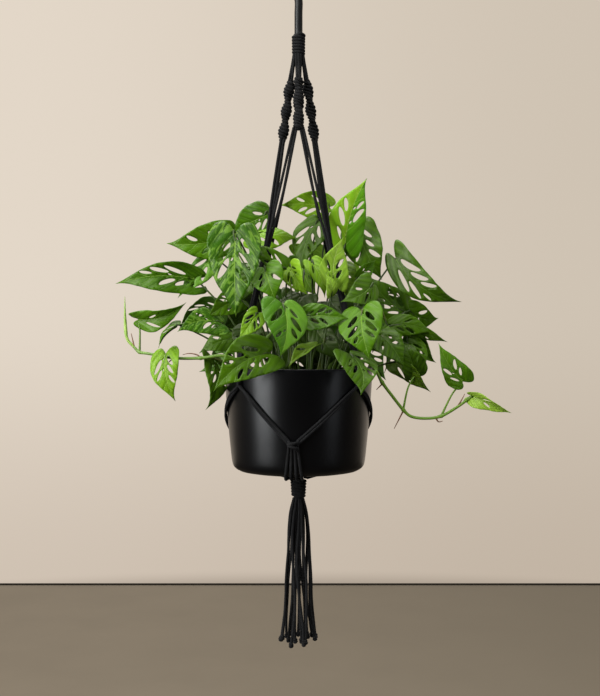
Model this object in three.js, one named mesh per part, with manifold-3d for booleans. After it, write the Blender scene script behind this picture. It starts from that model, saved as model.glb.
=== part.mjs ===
// Monstera adansonii in a satin black pot, held by a knotted cord hanger on a hooked steel rod.
// Millimetres, +Z up. The origin is the inner top of the hook, where the whole thing bears on its
// peg or ceiling hook. -Y is the front and +X is to the right seen from the front.
import * as THREE from 'three';
import { mergeVertices } from 'three/addons/utils/BufferGeometryUtils.js';
import Module from 'manifold-3d';

const wasm = await Module();
wasm.setup();

// Driving dimensions
const GAP = 0.35;                       // room kept between neighbouring solids
const CORD = 3.5;                       // diameter of the hanger's cord
const ROD_RADIUS = 5;
const HOOK_RADIUS = 18.5;               // centre line of the open hook
const WRAP_TOP = -92;
const WRAP_BOTTOM = -119;
const SENNIT_TOP = -150.4;
const SENNIT_LENGTHS = { 0: 64, 90: 74.5, 180: 56, 270: 74.5 };
const CIRCLE = 360;
const SENNIT_START_RADIUS = 10;         // distance from the hanger's axis, top and bottom
const SENNIT_END_RADIUS = 20;
const SENNIT_HALF_WIDTH = 6.6;
const SENNIT_HALF_THICKNESS = 3.2;
const SENNIT_TWIST = 7.25;              // degrees per millimetre of length
const GATHER_Z = -355;                  // where two sennits' cords join into one sling
const GATHER_RADIUS = 50;
const SLING_ANGLE = 48;                 // degrees away from front or back
const RIM_Z = -504.5;
const POT_BOTTOM = -630.5;
const SOIL_TOP = -521;
const PART_Z = -522;                    // where a sling parts into its two legs
const KNOT_Z = -592;
const KNOT_TURNS = { front: -4, right: 115, back: 180, left: 245 };
const LEG_RADIUS = 1.9;                 // cords above the gathering point
const BUNDLE_RADIUS = 3;                // cords between the gathering point and the rim
const WALL_CORD_RADIUS = 2.7;           // cords along the pot's wall
const WALL_CORD_OFF = 3.6;              // their centre line to the wall
const LOWER_WRAP_TOP = -642;
const LOWER_WRAP_BOTTOM = -665;
const TASSEL_BOTTOM = -846;
const STEM_RADIUS = 2;
const PETIOLE_RADIUS = 1.25;
const BLADE_THICKNESS = 1.2;
const LOBE = 0.14;                      // share of a blade that lies behind its petiole
const ARCH = 0.36;                      // how far a blade rises along its midrib, per length
const FALL = 0.12;                      // how far its edges hang, per half width
const POT_SEGMENTS = 32;
const ROOT_LIFT = 1;                    // stems start this far above the soil, and grow into it

// The pot's outer wall, radius and height, from the base up
const POT_OUTER = [[66, POT_BOTTOM], [73, -629.2], [78.6, -625.6], [81.6, -618.5], [84.3, -595],
  [87, -566], [89.6, -532], [91, RIM_Z]];
const POT_INNER = [[88.4, RIM_Z], [87, -532], [84.4, -566], [81.7, -595], [78.9, -617],
  [75.8, -622.6], [68, -627.3]];
const SOIL_SIDE = [[67.4, -626.8], [75.1, -622.2], [78.4, -616.8], [81.3, -595], [84, -566],
  [86.6, -532], [87.1, SOIL_TOP]];

const point = (x, y, z) => new THREE.Vector3(x, y, z);
const curve = (points) => new THREE.CatmullRomCurve3(points.map((p) => point(...p)));
const radians = THREE.MathUtils.degToRad;

// A point at an angle from the front, turning towards the right
function around(radius, degrees, z) {
  const a = radians(degrees);
  return [radius * Math.sin(a), -radius * Math.cos(a), z];
}

function potRadius(z) {
  for (let i = 1; i < POT_OUTER.length; i += 1) {
    const [lowRadius, low] = POT_OUTER[i - 1];
    const [highRadius, high] = POT_OUTER[i];
    if (z <= high) {
      return THREE.MathUtils.mapLinear(z, low, high, lowRadius, highRadius);
    }
  }
  return POT_OUTER.at(-1)[0];
}

// ---- solids ----
function solid(geometry) {
  geometry.deleteAttribute('normal');
  geometry.deleteAttribute('uv');
  const merged = mergeVertices(geometry, 1e-4);
  return new wasm.Manifold(new wasm.Mesh({
    numProp: 3,
    vertProperties: new Float32Array(merged.attributes.position.array),
    triVerts: new Uint32Array(merged.index.array),
  }));
}

function geometryOf(body) {
  const mesh = body.getMesh();
  const geometry = new THREE.BufferGeometry();
  geometry.setAttribute('position', new THREE.BufferAttribute(mesh.vertProperties, 3));
  geometry.setIndex(new THREE.BufferAttribute(mesh.triVerts, 1));
  geometry.computeVertexNormals();
  return geometry;
}

function roundSection(radius, sides) {
  const shape = new THREE.Shape();
  for (let i = 0; i < sides; i += 1) {
    const a = (2 * Math.PI * i) / sides;
    shape[i ? 'lineTo' : 'moveTo'](radius * Math.cos(a), radius * Math.sin(a));
  }
  shape.closePath();
  return shape;
}

function tube(points, radius, sides, steps) {
  const settings = { steps, bevelEnabled: false, extrudePath: curve(points) };
  return solid(new THREE.ExtrudeGeometry(roundSection(radius, sides), settings));
}

function turned(profile, segments) {
  const geometry = new THREE.LatheGeometry(profile.map(([r, z]) => new THREE.Vector2(r, z)), segments);
  geometry.rotateX(Math.PI / 2);
  return solid(geometry);
}

// A block whose points are moved by place(u, v, w): u runs 0 to 1 along, v and w run -1 to 1 across
function shapedBlock(alongSteps, acrossSteps, place) {
  const geometry = new THREE.BoxGeometry(1, 1, 1, alongSteps, acrossSteps, 1);
  const position = geometry.attributes.position;
  for (let i = 0; i < position.count; i += 1) {
    const moved = place(position.getX(i) + 0.5, position.getY(i) * 2, position.getZ(i) * 2);
    position.setXYZ(i, moved.x, moved.y, moved.z);
  }
  return solid(geometry);
}

const joined = (bodies) => bodies.reduce((sum, body) => sum.add(body));

// ---- the hanger ----
function hangingRod() {
  const shank = [[0, 0, WRAP_BOTTOM + 4], [0, 0, WRAP_TOP], [0, 0, -68], [-0.2, 0, -50],
    [-7, 0, -36]];
  const hook = [];
  for (let degrees = 195; degrees >= -35; degrees -= 23) {
    const a = radians(degrees);
    hook.push([HOOK_RADIUS * Math.cos(a), 0, HOOK_RADIUS * Math.sin(a) - HOOK_RADIUS + ROD_RADIUS]);
  }
  return tube([...shank, ...hook], ROD_RADIUS, 8, 34);
}

function topWrap() {
  const bore = ROD_RADIUS + GAP;
  return turned([[bore, WRAP_BOTTOM], [7.2, WRAP_BOTTOM], [7.7, WRAP_BOTTOM + 3], [7.7, WRAP_TOP - 4],
    [8.2, WRAP_TOP], [bore, WRAP_TOP], [bore, WRAP_BOTTOM]], 16);
}

function topCords() {
  const groups = [0, 90, 180, 270].map((angle) => tube([
    around(3.4, angle, WRAP_BOTTOM - GAP - 1),
    around(5.2, angle, -130),
    around(9.6, angle, SENNIT_TOP + GAP + 1),
  ], 3.1, 8, 5));
  return joined(groups);
}

// The front and back sennits are a few knots shorter than the side ones
const sennitLength = (angle) => SENNIT_LENGTHS[(angle + CIRCLE) % CIRCLE];

// Four cords half-knotted always the same way, so that the flat braid winds up like a spiral
function sennit(angle) {
  const length = sennitLength(angle);
  const along = new THREE.LineCurve3(point(...around(SENNIT_START_RADIUS, angle, SENNIT_TOP)),
    point(...around(SENNIT_END_RADIUS, angle, SENNIT_TOP - length)));
  return shapedBlock(18, 1, (u, v, w) => {
    const twist = radians(SENNIT_TWIST * length * u + angle);
    const fullness = Math.min(1, 0.5 + 8 * u, 0.5 + 8 * (1 - u));
    const flat = SENNIT_HALF_WIDTH * v * fullness;
    const thick = -SENNIT_HALF_THICKNESS * w;
    const offset = point(flat * Math.cos(twist) - thick * Math.sin(twist),
      flat * Math.sin(twist) + thick * Math.cos(twist), 0);
    return along.getPoint(u).add(offset);
  });
}

function wallCord(fromAngle, toAngle, toZ) {
  const points = [];
  const steps = 7;
  for (let i = 0; i <= steps; i += 1) {
    const t = i / steps;
    const z = THREE.MathUtils.lerp(PART_Z + 1, toZ, t);
    points.push(around(potRadius(z) + WALL_CORD_OFF, THREE.MathUtils.lerp(fromAngle, toAngle, t), z));
  }
  return tube(points, WALL_CORD_RADIUS, 6, 7);
}

// One sling: two cords from each neighbouring sennit, gathered, laid over the rim and parted again
function sling(angle, knotAngles, sennitAngles) {
  const gather = around(GATHER_RADIUS, angle, GATHER_Z);
  const parting = around(potRadius(PART_Z) + WALL_CORD_OFF, angle, PART_Z);
  const legs = sennitAngles.map((from) => {
    const turn = from + (angle - from) * 0.24;
    const sennitEnd = SENNIT_TOP - sennitLength(from) - GAP;
    return tube([around(SENNIT_END_RADIUS, turn, sennitEnd), around(34, (turn + 2 * angle) / 3, -288),
      gather], LEG_RADIUS, 6, 3);
  });
  const bundle = tube([around(GATHER_RADIUS - 1, angle, GATHER_Z + 4), gather,
    around(73, angle, -434), around(95, angle, RIM_Z - 1), parting,
    around(potRadius(PART_Z) + WALL_CORD_OFF - 0.2, angle, PART_Z - 4)], BUNDLE_RADIUS, 6, 9);
  const wallLegs = knotAngles.map((to) => wallCord(angle, to + Math.sign(angle - to) * 6, KNOT_Z + 4));
  return joined([bundle, ...legs, ...wallLegs]);
}

function wallKnot(angle) {
  const geometry = new THREE.SphereGeometry(1, 10, 8);
  geometry.scale(6.6, 4.4, 5);
  geometry.rotateZ(radians(angle));
  geometry.translate(...around(potRadius(KNOT_Z) + 5.2, angle, KNOT_Z));
  return solid(geometry);
}

// The four tails of a knot run down the wall, round the base and in to the lower wrap
function tails(angle) {
  const half = CORD / 2;
  const wall = (z) => [potRadius(z) + GAP + half + 0.4, z];
  const path = curve([wall(KNOT_Z - 7), wall(-606), wall(-617), [81.1, -627.6], [73.4, -633],
    [60, -633.4], [30, -636], [10, -639.4]].map(([r, z]) => around(r, angle, z)));
  const side = point(...around(1, angle + 90, 0));
  return shapedBlock(14, 1, (u, v, w) => {
    const along = path.getTangent(u);
    const out = new THREE.Vector3().crossVectors(along, side);
    const halfWidth = 6 + 2.4 * Math.sin(Math.PI * u);
    return path.getPoint(u).addScaledVector(side, v * halfWidth).addScaledVector(out, w * half);
  });
}

const lowerWrap = () => turned([[0, LOWER_WRAP_BOTTOM], [8, LOWER_WRAP_BOTTOM],
  [9.2, LOWER_WRAP_TOP - 5], [9.5, LOWER_WRAP_TOP], [0, LOWER_WRAP_TOP]], 16);

const tassel = () => turned([[0, TASSEL_BOTTOM], [23.5, TASSEL_BOTTOM], [25, -838], [21.3, -807],
  [18.6, -775], [16.6, -735], [14.6, -690], [8,  LOWER_WRAP_BOTTOM - GAP], [0, LOWER_WRAP_BOTTOM - GAP]], 16);

// ---- pot and soil ----
function pot(grow) {
  const outer = POT_OUTER.map(([r, z]) => [r + grow, z === RIM_Z ? z + grow : z]);
  const inner = POT_INNER.map(([r, z]) => [r - grow, z === RIM_Z ? z + grow : z]);
  return turned([[0, POT_BOTTOM], ...outer, ...inner, [0, -627.5]], POT_SEGMENTS);
}

const soil = () => turned([[0, -627.05], ...SOIL_SIDE, [0, SOIL_TOP]], POT_SEGMENTS);

// ---- leaves ----
// A leaf: name, where its blade starts, its tip, greatest width, turn about its length, petiole start
const LEAVES = [
  ['upper_left', [-88, 10, -343], [-162, -4, -352], 48, 0, [-25, 20, SOIL_TOP]],
  ['left_long', [-127, -5, -395], [-223, -18, -402], 40, 8, [-42, 2, SOIL_TOP]],
  ['rim_left', [-104, -25, -492], [-109, -38, -554], 36, -22, [-50, -22, SOIL_TOP]],
  ['left_mottled', [-92, -48, -450], [-141, -66, -460], 36, 0, [-40, -32, SOIL_TOP]],
  ['left_narrow', [-143, -28, -452], [-168, -45, -478], 23, 58, [-52, -6, SOIL_TOP]],
  ['back_upper_left', [-39, 35, -311], [-87, 25, -338], 44, 0, [-14, 34, SOIL_TOP]],
  ['top_arched', [-60, 12, -341], [-1, 20, -342], 37, -18, [-18, 14, SOIL_TOP]],
  ['top_centre', [39, 45, -300], [-24, 35, -299], 38, 0, [12, 40, SOIL_TOP]],
  ['big_mottled', [-74, -60, -345], [-73, -76, -444], 63, 0, [-30, -24, SOIL_TOP]],
  ['dark_arched', [-14, -52, -390], [-66, -42, -355], 26, -25, [-8, -16, SOIL_TOP]],
  ['lime_folded', [-10, -52, -384], [10, -62, -419], 36, 12, [2, -28, SOIL_TOP]],
  ['lime_right', [16, -33, -377], [32, -42, -419], 26, 0, [14, -26, SOIL_TOP]],
  ['upper_heart', [-39, -66, -387], [-27, -80, -425], 41, 0, [-16, -36, SOIL_TOP]],
  ['front_heart', [-17, -98, -431], [-20, -116, -490], 55, 0, [-10, -60, SOIL_TOP]],
  ['small_lime', [-47, -80, -440], [-68, -94, -471], 25, 0, [-24, -50, SOIL_TOP]],
  ['rim_front_left', [-34, -92, -486], [-94, -118, -529], 54, 0, [-18, -72, SOIL_TOP]],
  ['centre_right', [9, -80, -444], [58, -94, -447], 33, 0, [10, -52, SOIL_TOP]],
  ['folded_olive', [20, -85, -478], [-12, -98, -500], 23, 50, [16, -66, SOIL_TOP]],
  ['top_right', [57, -10, -354], [84, -22, -274], 49, 0, [28, 4, SOIL_TOP]],
  ['behind_right_cord', [24, 22, -322], [3, 10, -387], 45, 10, [14, 20, SOIL_TOP]],
  ['light_right', [42, -58, -404], [52, -70, -352], 35, 0, [24, -40, SOIL_TOP]],
  ['round_dark', [74, 10, -331], [104, 2, -395], 52, 0, [32, 18, SOIL_TOP]],
  ['far_right', [120, 0, -370], [199, -14, -424], 42, 12, [44, 8, SOIL_TOP]],
  ['low_olive', [119, 0, -497], [161, -10, -535], 29, 20, [58, -8, SOIL_TOP]],
  ['front_right_heart', [72, -90, -437], [80, -112, -493], 54, 0, [34, -48, SOIL_TOP]],
  ['bluish', [86, -64, -406], [49, -86, -426], 35, 0, [38, -28, SOIL_TOP]],
  ['small_light', [39, -62, -417], [32, -68, -394], 16, 0, [20, -44, SOIL_TOP]],
  ['small_folded', [72, -28, -394], [94, -20, -374], 22, 45, [30, -10, SOIL_TOP]],
  ['rim_front_right', [59, -92, -487], [70, -114, -533], 45, 0, [40, -64, SOIL_TOP]],
];
// Shoots: a stem with the leaves that grow on it
const SHOOTS = {
  left_vine: {
    stem: [[-44, -30, SOIL_TOP], [-58, -34, -503], [-75, -38, -494], [-92, -40, -489], [-117, -36, -492],
      [-149, -30, -492], [-180, -24, -487], [-193, -18, -485], [-200, -16, -479], [-210, -14, -471],
      [-211, -12, -446], [-212, -12, -417]],
    leaves: [
      ['left_curl', [-194, -18, -445], [-135, -30, -426], 33, 22, [-193, -18, -485]],
      ['left_hanging', [-159, -36, -487], [-146, -48, -543], 36, 0, [-162, -28, -492]],
    ],
  },
  right_vine: {
    stem: [[46, -22, SOIL_TOP], [58, -30, -503], [70, -36, -496], [84, -40, -497], [92, -42, -506],
      [100, -38, -521], [113, -30, -538], [127, -22, -555], [137, -22, -563], [154, -25, -565],
      [172, -28, -562], [191, -30, -551], [209, -30, -538]],
    leaves: [
      ['vine_hanging', [143, -12, -512], [129, -20, -476], 32, 0, [127, -20, -555]],
      ['vine_upper', [197, -30, -520], [168, -38, -474], 35, 0, [172, -28, -562]],
      ['vine_end', [209, -30, -538], [253, -42, -559], 24, 50, [199, -30, -545]],
    ],
  },
  right_shoot: {
    stem: [[50, 6, SOIL_TOP], [72, 2, -486], [92, -8, -466], [111, 2, -455], [129, 10, -439],
      [134, 14, -435]],
    leaves: [
      ['small_right', [139, 12, -434], [175, 14, -444], 37, 10, [129, 10, -438]],
      ['dark_right', [133, 16, -435], [86, 8, -389], 45, 0, [128, 12, -439]],
      ['dark_right_low', [115, 0, -452], [164, -8, -462], 29, 20, [111, 2, -455]],
      ['shade_right', [101, -22, -465], [127, -32, -502], 39, 0, [97, -12, -467]],
      ['narrow_low', [151, 12, -468], [171, 10, -499], 21, 40, [131, 10, -453]],
      ['dark_right_mid', [116, 6, -448], [90, -4, -485], 42, 0, [111, 2, -455]],
      ['dark_right_under', [135, 2, -474], [150, -10, -515], 32, 0, [127, 10, -440]],
      ['dark_right_back', [125, 26, -440], [151, 18, -483], 40, 0, [127, 10, -440]],
      ['right_tip', [137, 6, -459], [183, -2, -474], 19, 20, [127, 10, -440]],
      ['right_inner', [97, 0, -455], [74, -10, -495], 39, 0, [91, -8, -467]],
      ['side_right_high', [84, 12, -398], [106, 14, -452], 44, -80, [111, 2, -455]],
      ['side_right_low', [96, 20, -458], [114, 32, -510], 44, -96, [111, 2, -455]],
    ],
  },
  centre_shoot: {
    stem: [[-30, -40, SOIL_TOP], [-44, -46, -494], [-38, -44, -468], [-1, -30, -444], [28, -30, -449]],
    leaves: [
      ['shade_centre', [2, -38, -420], [-3, -52, -471], 45, 0, [-1, -30, -444]],
      ['shade_right_centre', [38, -34, -425], [58, -48, -468], 43, 0, [28, -30, -449]],
      ['shade_left', [-55, -50, -456], [-68, -62, -491], 35, 0, [-39, -44, -468]],
      ['centre_low_dark', [23, -42, -460], [51, -54, -494], 36, 0, [28, -30, -449]],
      ['left_low_dark', [-79, -12, -468], [-120, -26, -485], 32, 10, [-38, -44, -468]],
      ['left_under', [-70, -40, -422], [-108, -52, -445], 32, 0, [-38, -44, -468]],
      ['young_centre', [7, -18, -385], [22, -28, -417], 29, 0, [-1, -30, -444]],
    ],
  },
  back_left_shoot: {
    stem: [[-30, 34, SOIL_TOP], [-52, 52, -470], [-60, 62, -430], [-54, 58, -380]],
    leaves: [
      ['back_left_low', [-84, 84, -466], [-134, 118, -512], 52, 168, [-52, 52, -470]],
      ['back_left_mid', [-72, 78, -432], [-116, 108, -452], 46, 172, [-58, 60, -440]],
      ['back_left_side', [-98, 40, -430], [-154, 52, -452], 44, 120, [-60, 60, -430]],
      ['back_left_upper', [-58, 66, -378], [-76, 92, -420], 48, 178, [-54, 58, -380]],
      ['inner_left_low', [-46, 30, -460], [-78, 16, -502], 45, 0, [-52, 52, -470]],
      ['inner_left_mid', [-59, 36, -419], [-97, 24, -457], 43, 0, [-60, 62, -430]],
      ['inner_left_high', [-45, 36, -376], [-72, 22, -422], 43, 0, [-54, 58, -380]],
      ['left_behind', [-107, 8, -366], [-150, -2, -417], 32, -10, [-60, 62, -430]],
      ['side_left_high', [-82, 14, -408], [-102, 18, -460], 44, 85, [-60, 62, -430]],
      ['side_left_low', [-94, 14, -464], [-112, 26, -514], 42, 96, [-52, 52, -470]],
      ['inner_rim_d', [-27, 42, -472], [-25, 34, -509], 38, 0, [-52, 52, -470]],
    ],
  },
  back_middle_shoot: {
    stem: [[-4, 38, SOIL_TOP], [-6, 60, -468], [2, 70, -424], [6, 64, -370], [4, 54, -346]],
    leaves: [
      ['back_middle_low', [-8, 92, -462], [-14, 132, -508], 54, 180, [-6, 62, -464]],
      ['back_middle_side', [34, 92, -440], [58, 124, -472], 46, 190, [0, 68, -434]],
      ['back_middle_heart', [-12, 90, -410], [-18, 112, -458], 50, 178, [2, 70, -420]],
      ['back_middle_upper', [12, 72, -348], [16, 98, -394], 48, 182, [5, 56, -350]],
      ['inner_middle_low', [-8, 30, -462], [-18, 12, -510], 48, 0, [-6, 62, -464]],
      ['inner_middle_right', [9, 34, -445], [31, 18, -490], 45, 0, [0, 66, -446]],
      ['inner_middle', [-1, 36, -414], [-11, 18, -462], 48, 0, [2, 70, -424]],
      ['inner_middle_high', [2, 42, -370], [-2, 28, -414], 43, 0, [6, 64, -370]],
      ['inner_small_left', [-22, 20, -420], [-39, 8, -455], 35, 0, [0, 68, -434]],
      ['inner_rim_a', [16, 42, -470], [9, 34, -509], 43, 0, [0, 66, -446]],
      ['inner_rim_c', [-6, 44, -472], [-10, 36, -509], 43, 0, [-6, 62, -464]],
      ['inner_rim_e', [-21, 50, -498], [26, 54, -497], 35, 0, [-6, 62, -464]],
    ],
  },
  back_right_shoot: {
    stem: [[30, 34, SOIL_TOP], [54, 56, -472], [64, 64, -430], [58, 56, -384]],
    leaves: [
      ['back_right_low', [82, 84, -474], [118, 118, -522], 52, 190, [54, 56, -472]],
      ['back_right_mid', [80, 74, -430], [124, 100, -456], 46, 186, [62, 62, -440]],
      ['back_right_side', [92, 46, -410], [140, 60, -436], 44, 236, [64, 64, -428]],
      ['back_right_upper', [62, 64, -382], [82, 90, -426], 46, 182, [58, 56, -384]],
      ['inner_rim_b', [35, 44, -475], [30, 36, -509], 38, 0, [54, 56, -472]],
      ['inner_rim_f', [19, 60, -499], [66, 54, -494], 35, 0, [54, 56, -472]],
      ['inner_right_low', [47, 30, -462], [58, 14, -505], 45, 0, [54, 56, -472]],
      ['inner_right_mid', [60, 34, -419], [85, 22, -461], 45, 0, [64, 64, -430]],
      ['inner_right_high', [53, 38, -378], [67, 26, -418], 40, 0, [58, 56, -384]],
    ],
  },
};

// A thin heart-shaped plate, arched along its length and folded a little about its midrib
function blade(base, tip, width, roll, grow) {
  const start = point(...base);
  const length = start.distanceTo(point(...tip)) + grow;
  const along = point(...tip).sub(start).normalize();
  const facing = point(0, -1, 0).addScaledVector(along, along.y).normalize();
  facing.applyAxisAngle(along, radians(roll));
  const side = new THREE.Vector3().crossVectors(facing, along);
  const halfThickness = BLADE_THICKNESS / 2 + grow;
  return shapedBlock(6, 2, (u, v, w) => {
    const lengthwise = u * (1 + LOBE) - LOBE;
    const spread = Math.sin(Math.PI * u ** 0.69) ** 0.85 || 0;
    const halfWidth = Math.max(0.8, (width / 2) * spread) + grow;
    const rise = ARCH * length * lengthwise * (1 - lengthwise) - FALL * halfWidth * v * v;
    return start.clone()
      .addScaledVector(along, lengthwise * length)
      .addScaledVector(side, v * halfWidth)
      .addScaledVector(facing, rise + w * halfThickness);
  });
}

function petiole(from, base, radius) {
  const [x, y, z] = from;
  const lift = z === SOIL_TOP ? ROOT_LIFT : 0;
  const high = Math.max(0, base[2] - z);
  const middle = [x + (base[0] - x) * 0.45, y + (base[1] - y) * 0.45, z + lift + high * 0.62];
  return tube([[x, y, z + lift], middle, base], radius, 4, 4);
}

function leaf([, base, tip, width, roll, from], grow) {
  return blade(base, tip, width, roll, grow).add(petiole(from, base, PETIOLE_RADIUS + grow));
}

function shoot({ stem, leaves }, grow) {
  const rooted = stem.map(([x, y, z], i) => [x, y, i ? z : z + 2 * ROOT_LIFT]);
  const stalk = tube(rooted, STEM_RADIUS + grow, 5, Math.round(1.4 * stem.length));
  return joined([stalk, ...leaves.map((entry) => leaf(entry, grow))]);
}

// ---- assembly ----
const STEEL = { color: 0x3c4042, roughness: 0.34, metalness: 0.8 };
const CORDAGE = { color: 0x161618, roughness: 0.85, metalness: 0 };
const POT_FINISH = { color: 0x121213, roughness: 0.42, metalness: 0.3 };
const SOIL_FINISH = { color: 0x1c130c, roughness: 1, metalness: 0 };
const LEAF = { color: 0x4a8a2a, roughness: 0.45, metalness: 0 };

const assembly = new THREE.Group();
let occupied = null;

function keepRoom(body) {
  occupied = occupied ? occupied.add(body) : body;
}

function place(name, finish, body) {
  const mesh = new THREE.Mesh(geometryOf(body), new THREE.MeshStandardMaterial(finish));
  mesh.name = name;
  assembly.add(mesh);
}

// Foliage gives way to whatever is already there, and stays one piece
function placeAmong(name, build) {
  const pieces = build(0).subtract(occupied).decompose();
  pieces.sort((a, b) => b.volume() - a.volume());
  place(name, LEAF, pieces[0].simplify(0.1));
  keepRoom(build(GAP));
}

place('hanging_rod', STEEL, hangingRod());
place('top_wrap', CORDAGE, topWrap());
place('top_cords', CORDAGE, topCords());
const SIDES = { front: 0, right: 90, back: 180, left: 270 };
for (const [side, angle] of Object.entries(SIDES)) {
  place(`sennit_${side}`, CORDAGE, sennit(angle));
  place(`wall_knot_${side}`, CORDAGE, wallKnot(KNOT_TURNS[side]));
  place(`tails_${side}`, CORDAGE, tails(KNOT_TURNS[side]));
}
const SLINGS = {
  front_right: [SLING_ANGLE, [KNOT_TURNS.front, KNOT_TURNS.right], [0, 90]],
  back_right: [180 - SLING_ANGLE, [KNOT_TURNS.right, KNOT_TURNS.back], [90, 180]],
  back_left: [180 + SLING_ANGLE, [KNOT_TURNS.back, KNOT_TURNS.left], [180, 270]],
  front_left: [360 - SLING_ANGLE, [KNOT_TURNS.left, 360 + KNOT_TURNS.front], [270, 360]],
};
for (const [side, [angle, knots, sennits]] of Object.entries(SLINGS)) {
  const body = sling(angle, knots, sennits);
  place(`sling_${side}`, CORDAGE, body);
  keepRoom(tube([around(GATHER_RADIUS - 1, angle, GATHER_Z + 4), around(GATHER_RADIUS, angle, GATHER_Z),
    around(73, angle, -434), around(95, angle, RIM_Z - 1), around(94, angle, PART_Z)], 3.4, 8, 11));
  keepRoom(body);
}
place('lower_wrap', CORDAGE, lowerWrap());
place('tassel', CORDAGE, tassel());
place('pot', POT_FINISH, pot(0));
place('soil', SOIL_FINISH, soil());
keepRoom(pot(GAP));
for (const entry of LEAVES) {
  placeAmong(`leaf_${entry[0]}`, (grow) => leaf(entry, grow));
}
for (const [name, parts] of Object.entries(SHOOTS)) {
  placeAmong(name, (grow) => shoot(parts, grow));
}

export default assembly;
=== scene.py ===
# %% [markdown]
# # A holed-leaf monstera in a knotted cord hanger
#
# The real thing is four trades in one object: a spun metal pot, soil, a living plant and a hanger
# knotted from eight long cotton cords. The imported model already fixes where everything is, so this
# lesson loads it first and then builds the visible surface of each piece in the same place.
# Lengths are written in millimetres, as a maker would measure them, and turned into metres by MM.

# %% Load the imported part
import math
import random

import bpy
import numpy as np
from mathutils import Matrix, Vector
from mathutils.geometry import delaunay_2d_cdt


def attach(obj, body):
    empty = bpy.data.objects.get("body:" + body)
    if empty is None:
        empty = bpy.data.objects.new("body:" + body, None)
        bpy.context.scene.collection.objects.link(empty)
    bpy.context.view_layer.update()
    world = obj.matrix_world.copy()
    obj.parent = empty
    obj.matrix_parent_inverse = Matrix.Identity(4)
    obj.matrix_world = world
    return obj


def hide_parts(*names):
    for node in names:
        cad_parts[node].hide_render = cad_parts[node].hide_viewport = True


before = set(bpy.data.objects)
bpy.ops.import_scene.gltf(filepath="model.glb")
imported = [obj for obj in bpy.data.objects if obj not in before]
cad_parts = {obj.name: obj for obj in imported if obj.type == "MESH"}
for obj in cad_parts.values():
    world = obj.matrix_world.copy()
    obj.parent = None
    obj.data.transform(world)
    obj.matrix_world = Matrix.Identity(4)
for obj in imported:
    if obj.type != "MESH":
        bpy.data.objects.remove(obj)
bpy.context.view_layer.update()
MM = 0.001

# %% [markdown]
# ## Camera, floor and backdrop
#
# The plant hangs at eye height, so the camera looks level. A long-ish lens from a little over a
# metre keeps the pot's sides nearly parallel. The floor is a plain one far below, as under any
# hanging basket, with painted shade that darkens it to the right, and a strip of painted shade runs
# along the foot of the wall. The walls are the world's own warm colour, a little brighter on the
# left, where the window is, and painted darker towards the floor.

# %% Camera
EYE = (1.85 * MM, -1233 * MM, -480 * MM)
camera = bpy.data.objects.new("camera", bpy.data.cameras.new("camera"))
camera.location = EYE
camera.rotation_euler = (math.pi / 2, 0, 0)
camera.data.sensor_width = 36
camera.data.lens = 51.72
camera.data.clip_end = 60
bpy.context.collection.objects.link(camera)
bpy.context.scene.camera = camera
bpy.context.scene.view_settings.view_transform = "Standard"

# %% Colour and mesh helpers
def linear(red, green, blue):
    """A colour given in 0 to 255, as a paint chart gives it, in the light-linear values shaders use."""
    parts = [c / 255 for c in (red, green, blue)]
    return tuple(c / 12.92 if c <= 0.04045 else ((c + 0.055) / 1.055) ** 2.4 for c in parts) + (1.0,)


def new_object(name, points, faces, material, smooth=True):
    """A mesh object from points in millimetres."""
    mesh = bpy.data.meshes.new(name)
    mesh.from_pydata((np.asarray(points) * MM).tolist(), [], [list(f) for f in faces])
    mesh.materials.append(material)
    if smooth:
        mesh.shade_smooth()
    made = bpy.data.objects.new(name, mesh)
    bpy.context.collection.objects.link(made)
    return made


def keep(piece, slot, *nodes):
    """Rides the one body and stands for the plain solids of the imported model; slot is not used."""
    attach(piece, "root")
    if nodes:
        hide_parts(*nodes)
    return piece

# %% [markdown]
# ## Node helpers
#
# Every finish below is a small tree of shader nodes. Writing trees by hand is wordy, so two helpers
# do it: Tree adds nodes and wires them, and effect_group makes a reusable node group with named
# sockets. A group only ever puts out colours, masks, values and heights, and the Principled shader
# itself stays in each material.

# %% Tree and group helpers
class Tree:
    """Adds nodes to a node tree and links whatever is given as an input."""

    def __init__(self, tree):
        self.tree = tree

    def node(self, kind, inputs=None, **settings):
        made = self.tree.nodes.new("ShaderNode" + kind)
        for key, value in settings.items():
            setattr(made, key, value)
        for key, value in (inputs or {}).items():
            self.feed(made.inputs[key], value)
        return made

    def feed(self, socket, value):
        if isinstance(value, bpy.types.NodeSocket):
            self.tree.links.new(value, socket)
        else:
            socket.default_value = value

    def maths(self, operation, a, b=0.0, c=0.0):
        made = self.node("Math", {0: a, 1: b, 2: c}, operation=operation)
        return made.outputs[0]

    def blend(self, factor, a, b, mode="MIX"):
        made = self.node("Mix", {0: factor, 6: a, 7: b}, data_type="RGBA", blend_type=mode)
        return made.outputs[2]

    def band(self, value, low, high, out_low=0.0, out_high=1.0):
        """A smooth step from out_low to out_high as value goes from low to high."""
        made = self.node("MapRange", {0: value, 1: low, 2: high, 3: out_low, 4: out_high},
                         interpolation_type="SMOOTHSTEP")
        return made.outputs[0]


def effect_group(name, inputs, outputs):
    """An empty node group: inputs are (name, kind, default), outputs (name, kind)."""
    tree = bpy.data.node_groups.new(name, "ShaderNodeTree")
    for label, kind, default in inputs:
        socket = tree.interface.new_socket(label, in_out="INPUT", socket_type="NodeSocket" + kind)
        socket.default_value = default
    for label, kind in outputs:
        tree.interface.new_socket(label, in_out="OUTPUT", socket_type="NodeSocket" + kind)
    t = Tree(tree)
    return t, tree.nodes.new("NodeGroupInput"), tree.nodes.new("NodeGroupOutput")


def new_material(name):
    """A fresh material with its Tree, its Principled shader and its output node."""
    material = bpy.data.materials.new(name)
    material.use_nodes = True
    tree = material.node_tree
    return material, Tree(tree), tree.nodes["Principled BSDF"], tree.nodes["Material Output"]


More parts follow.
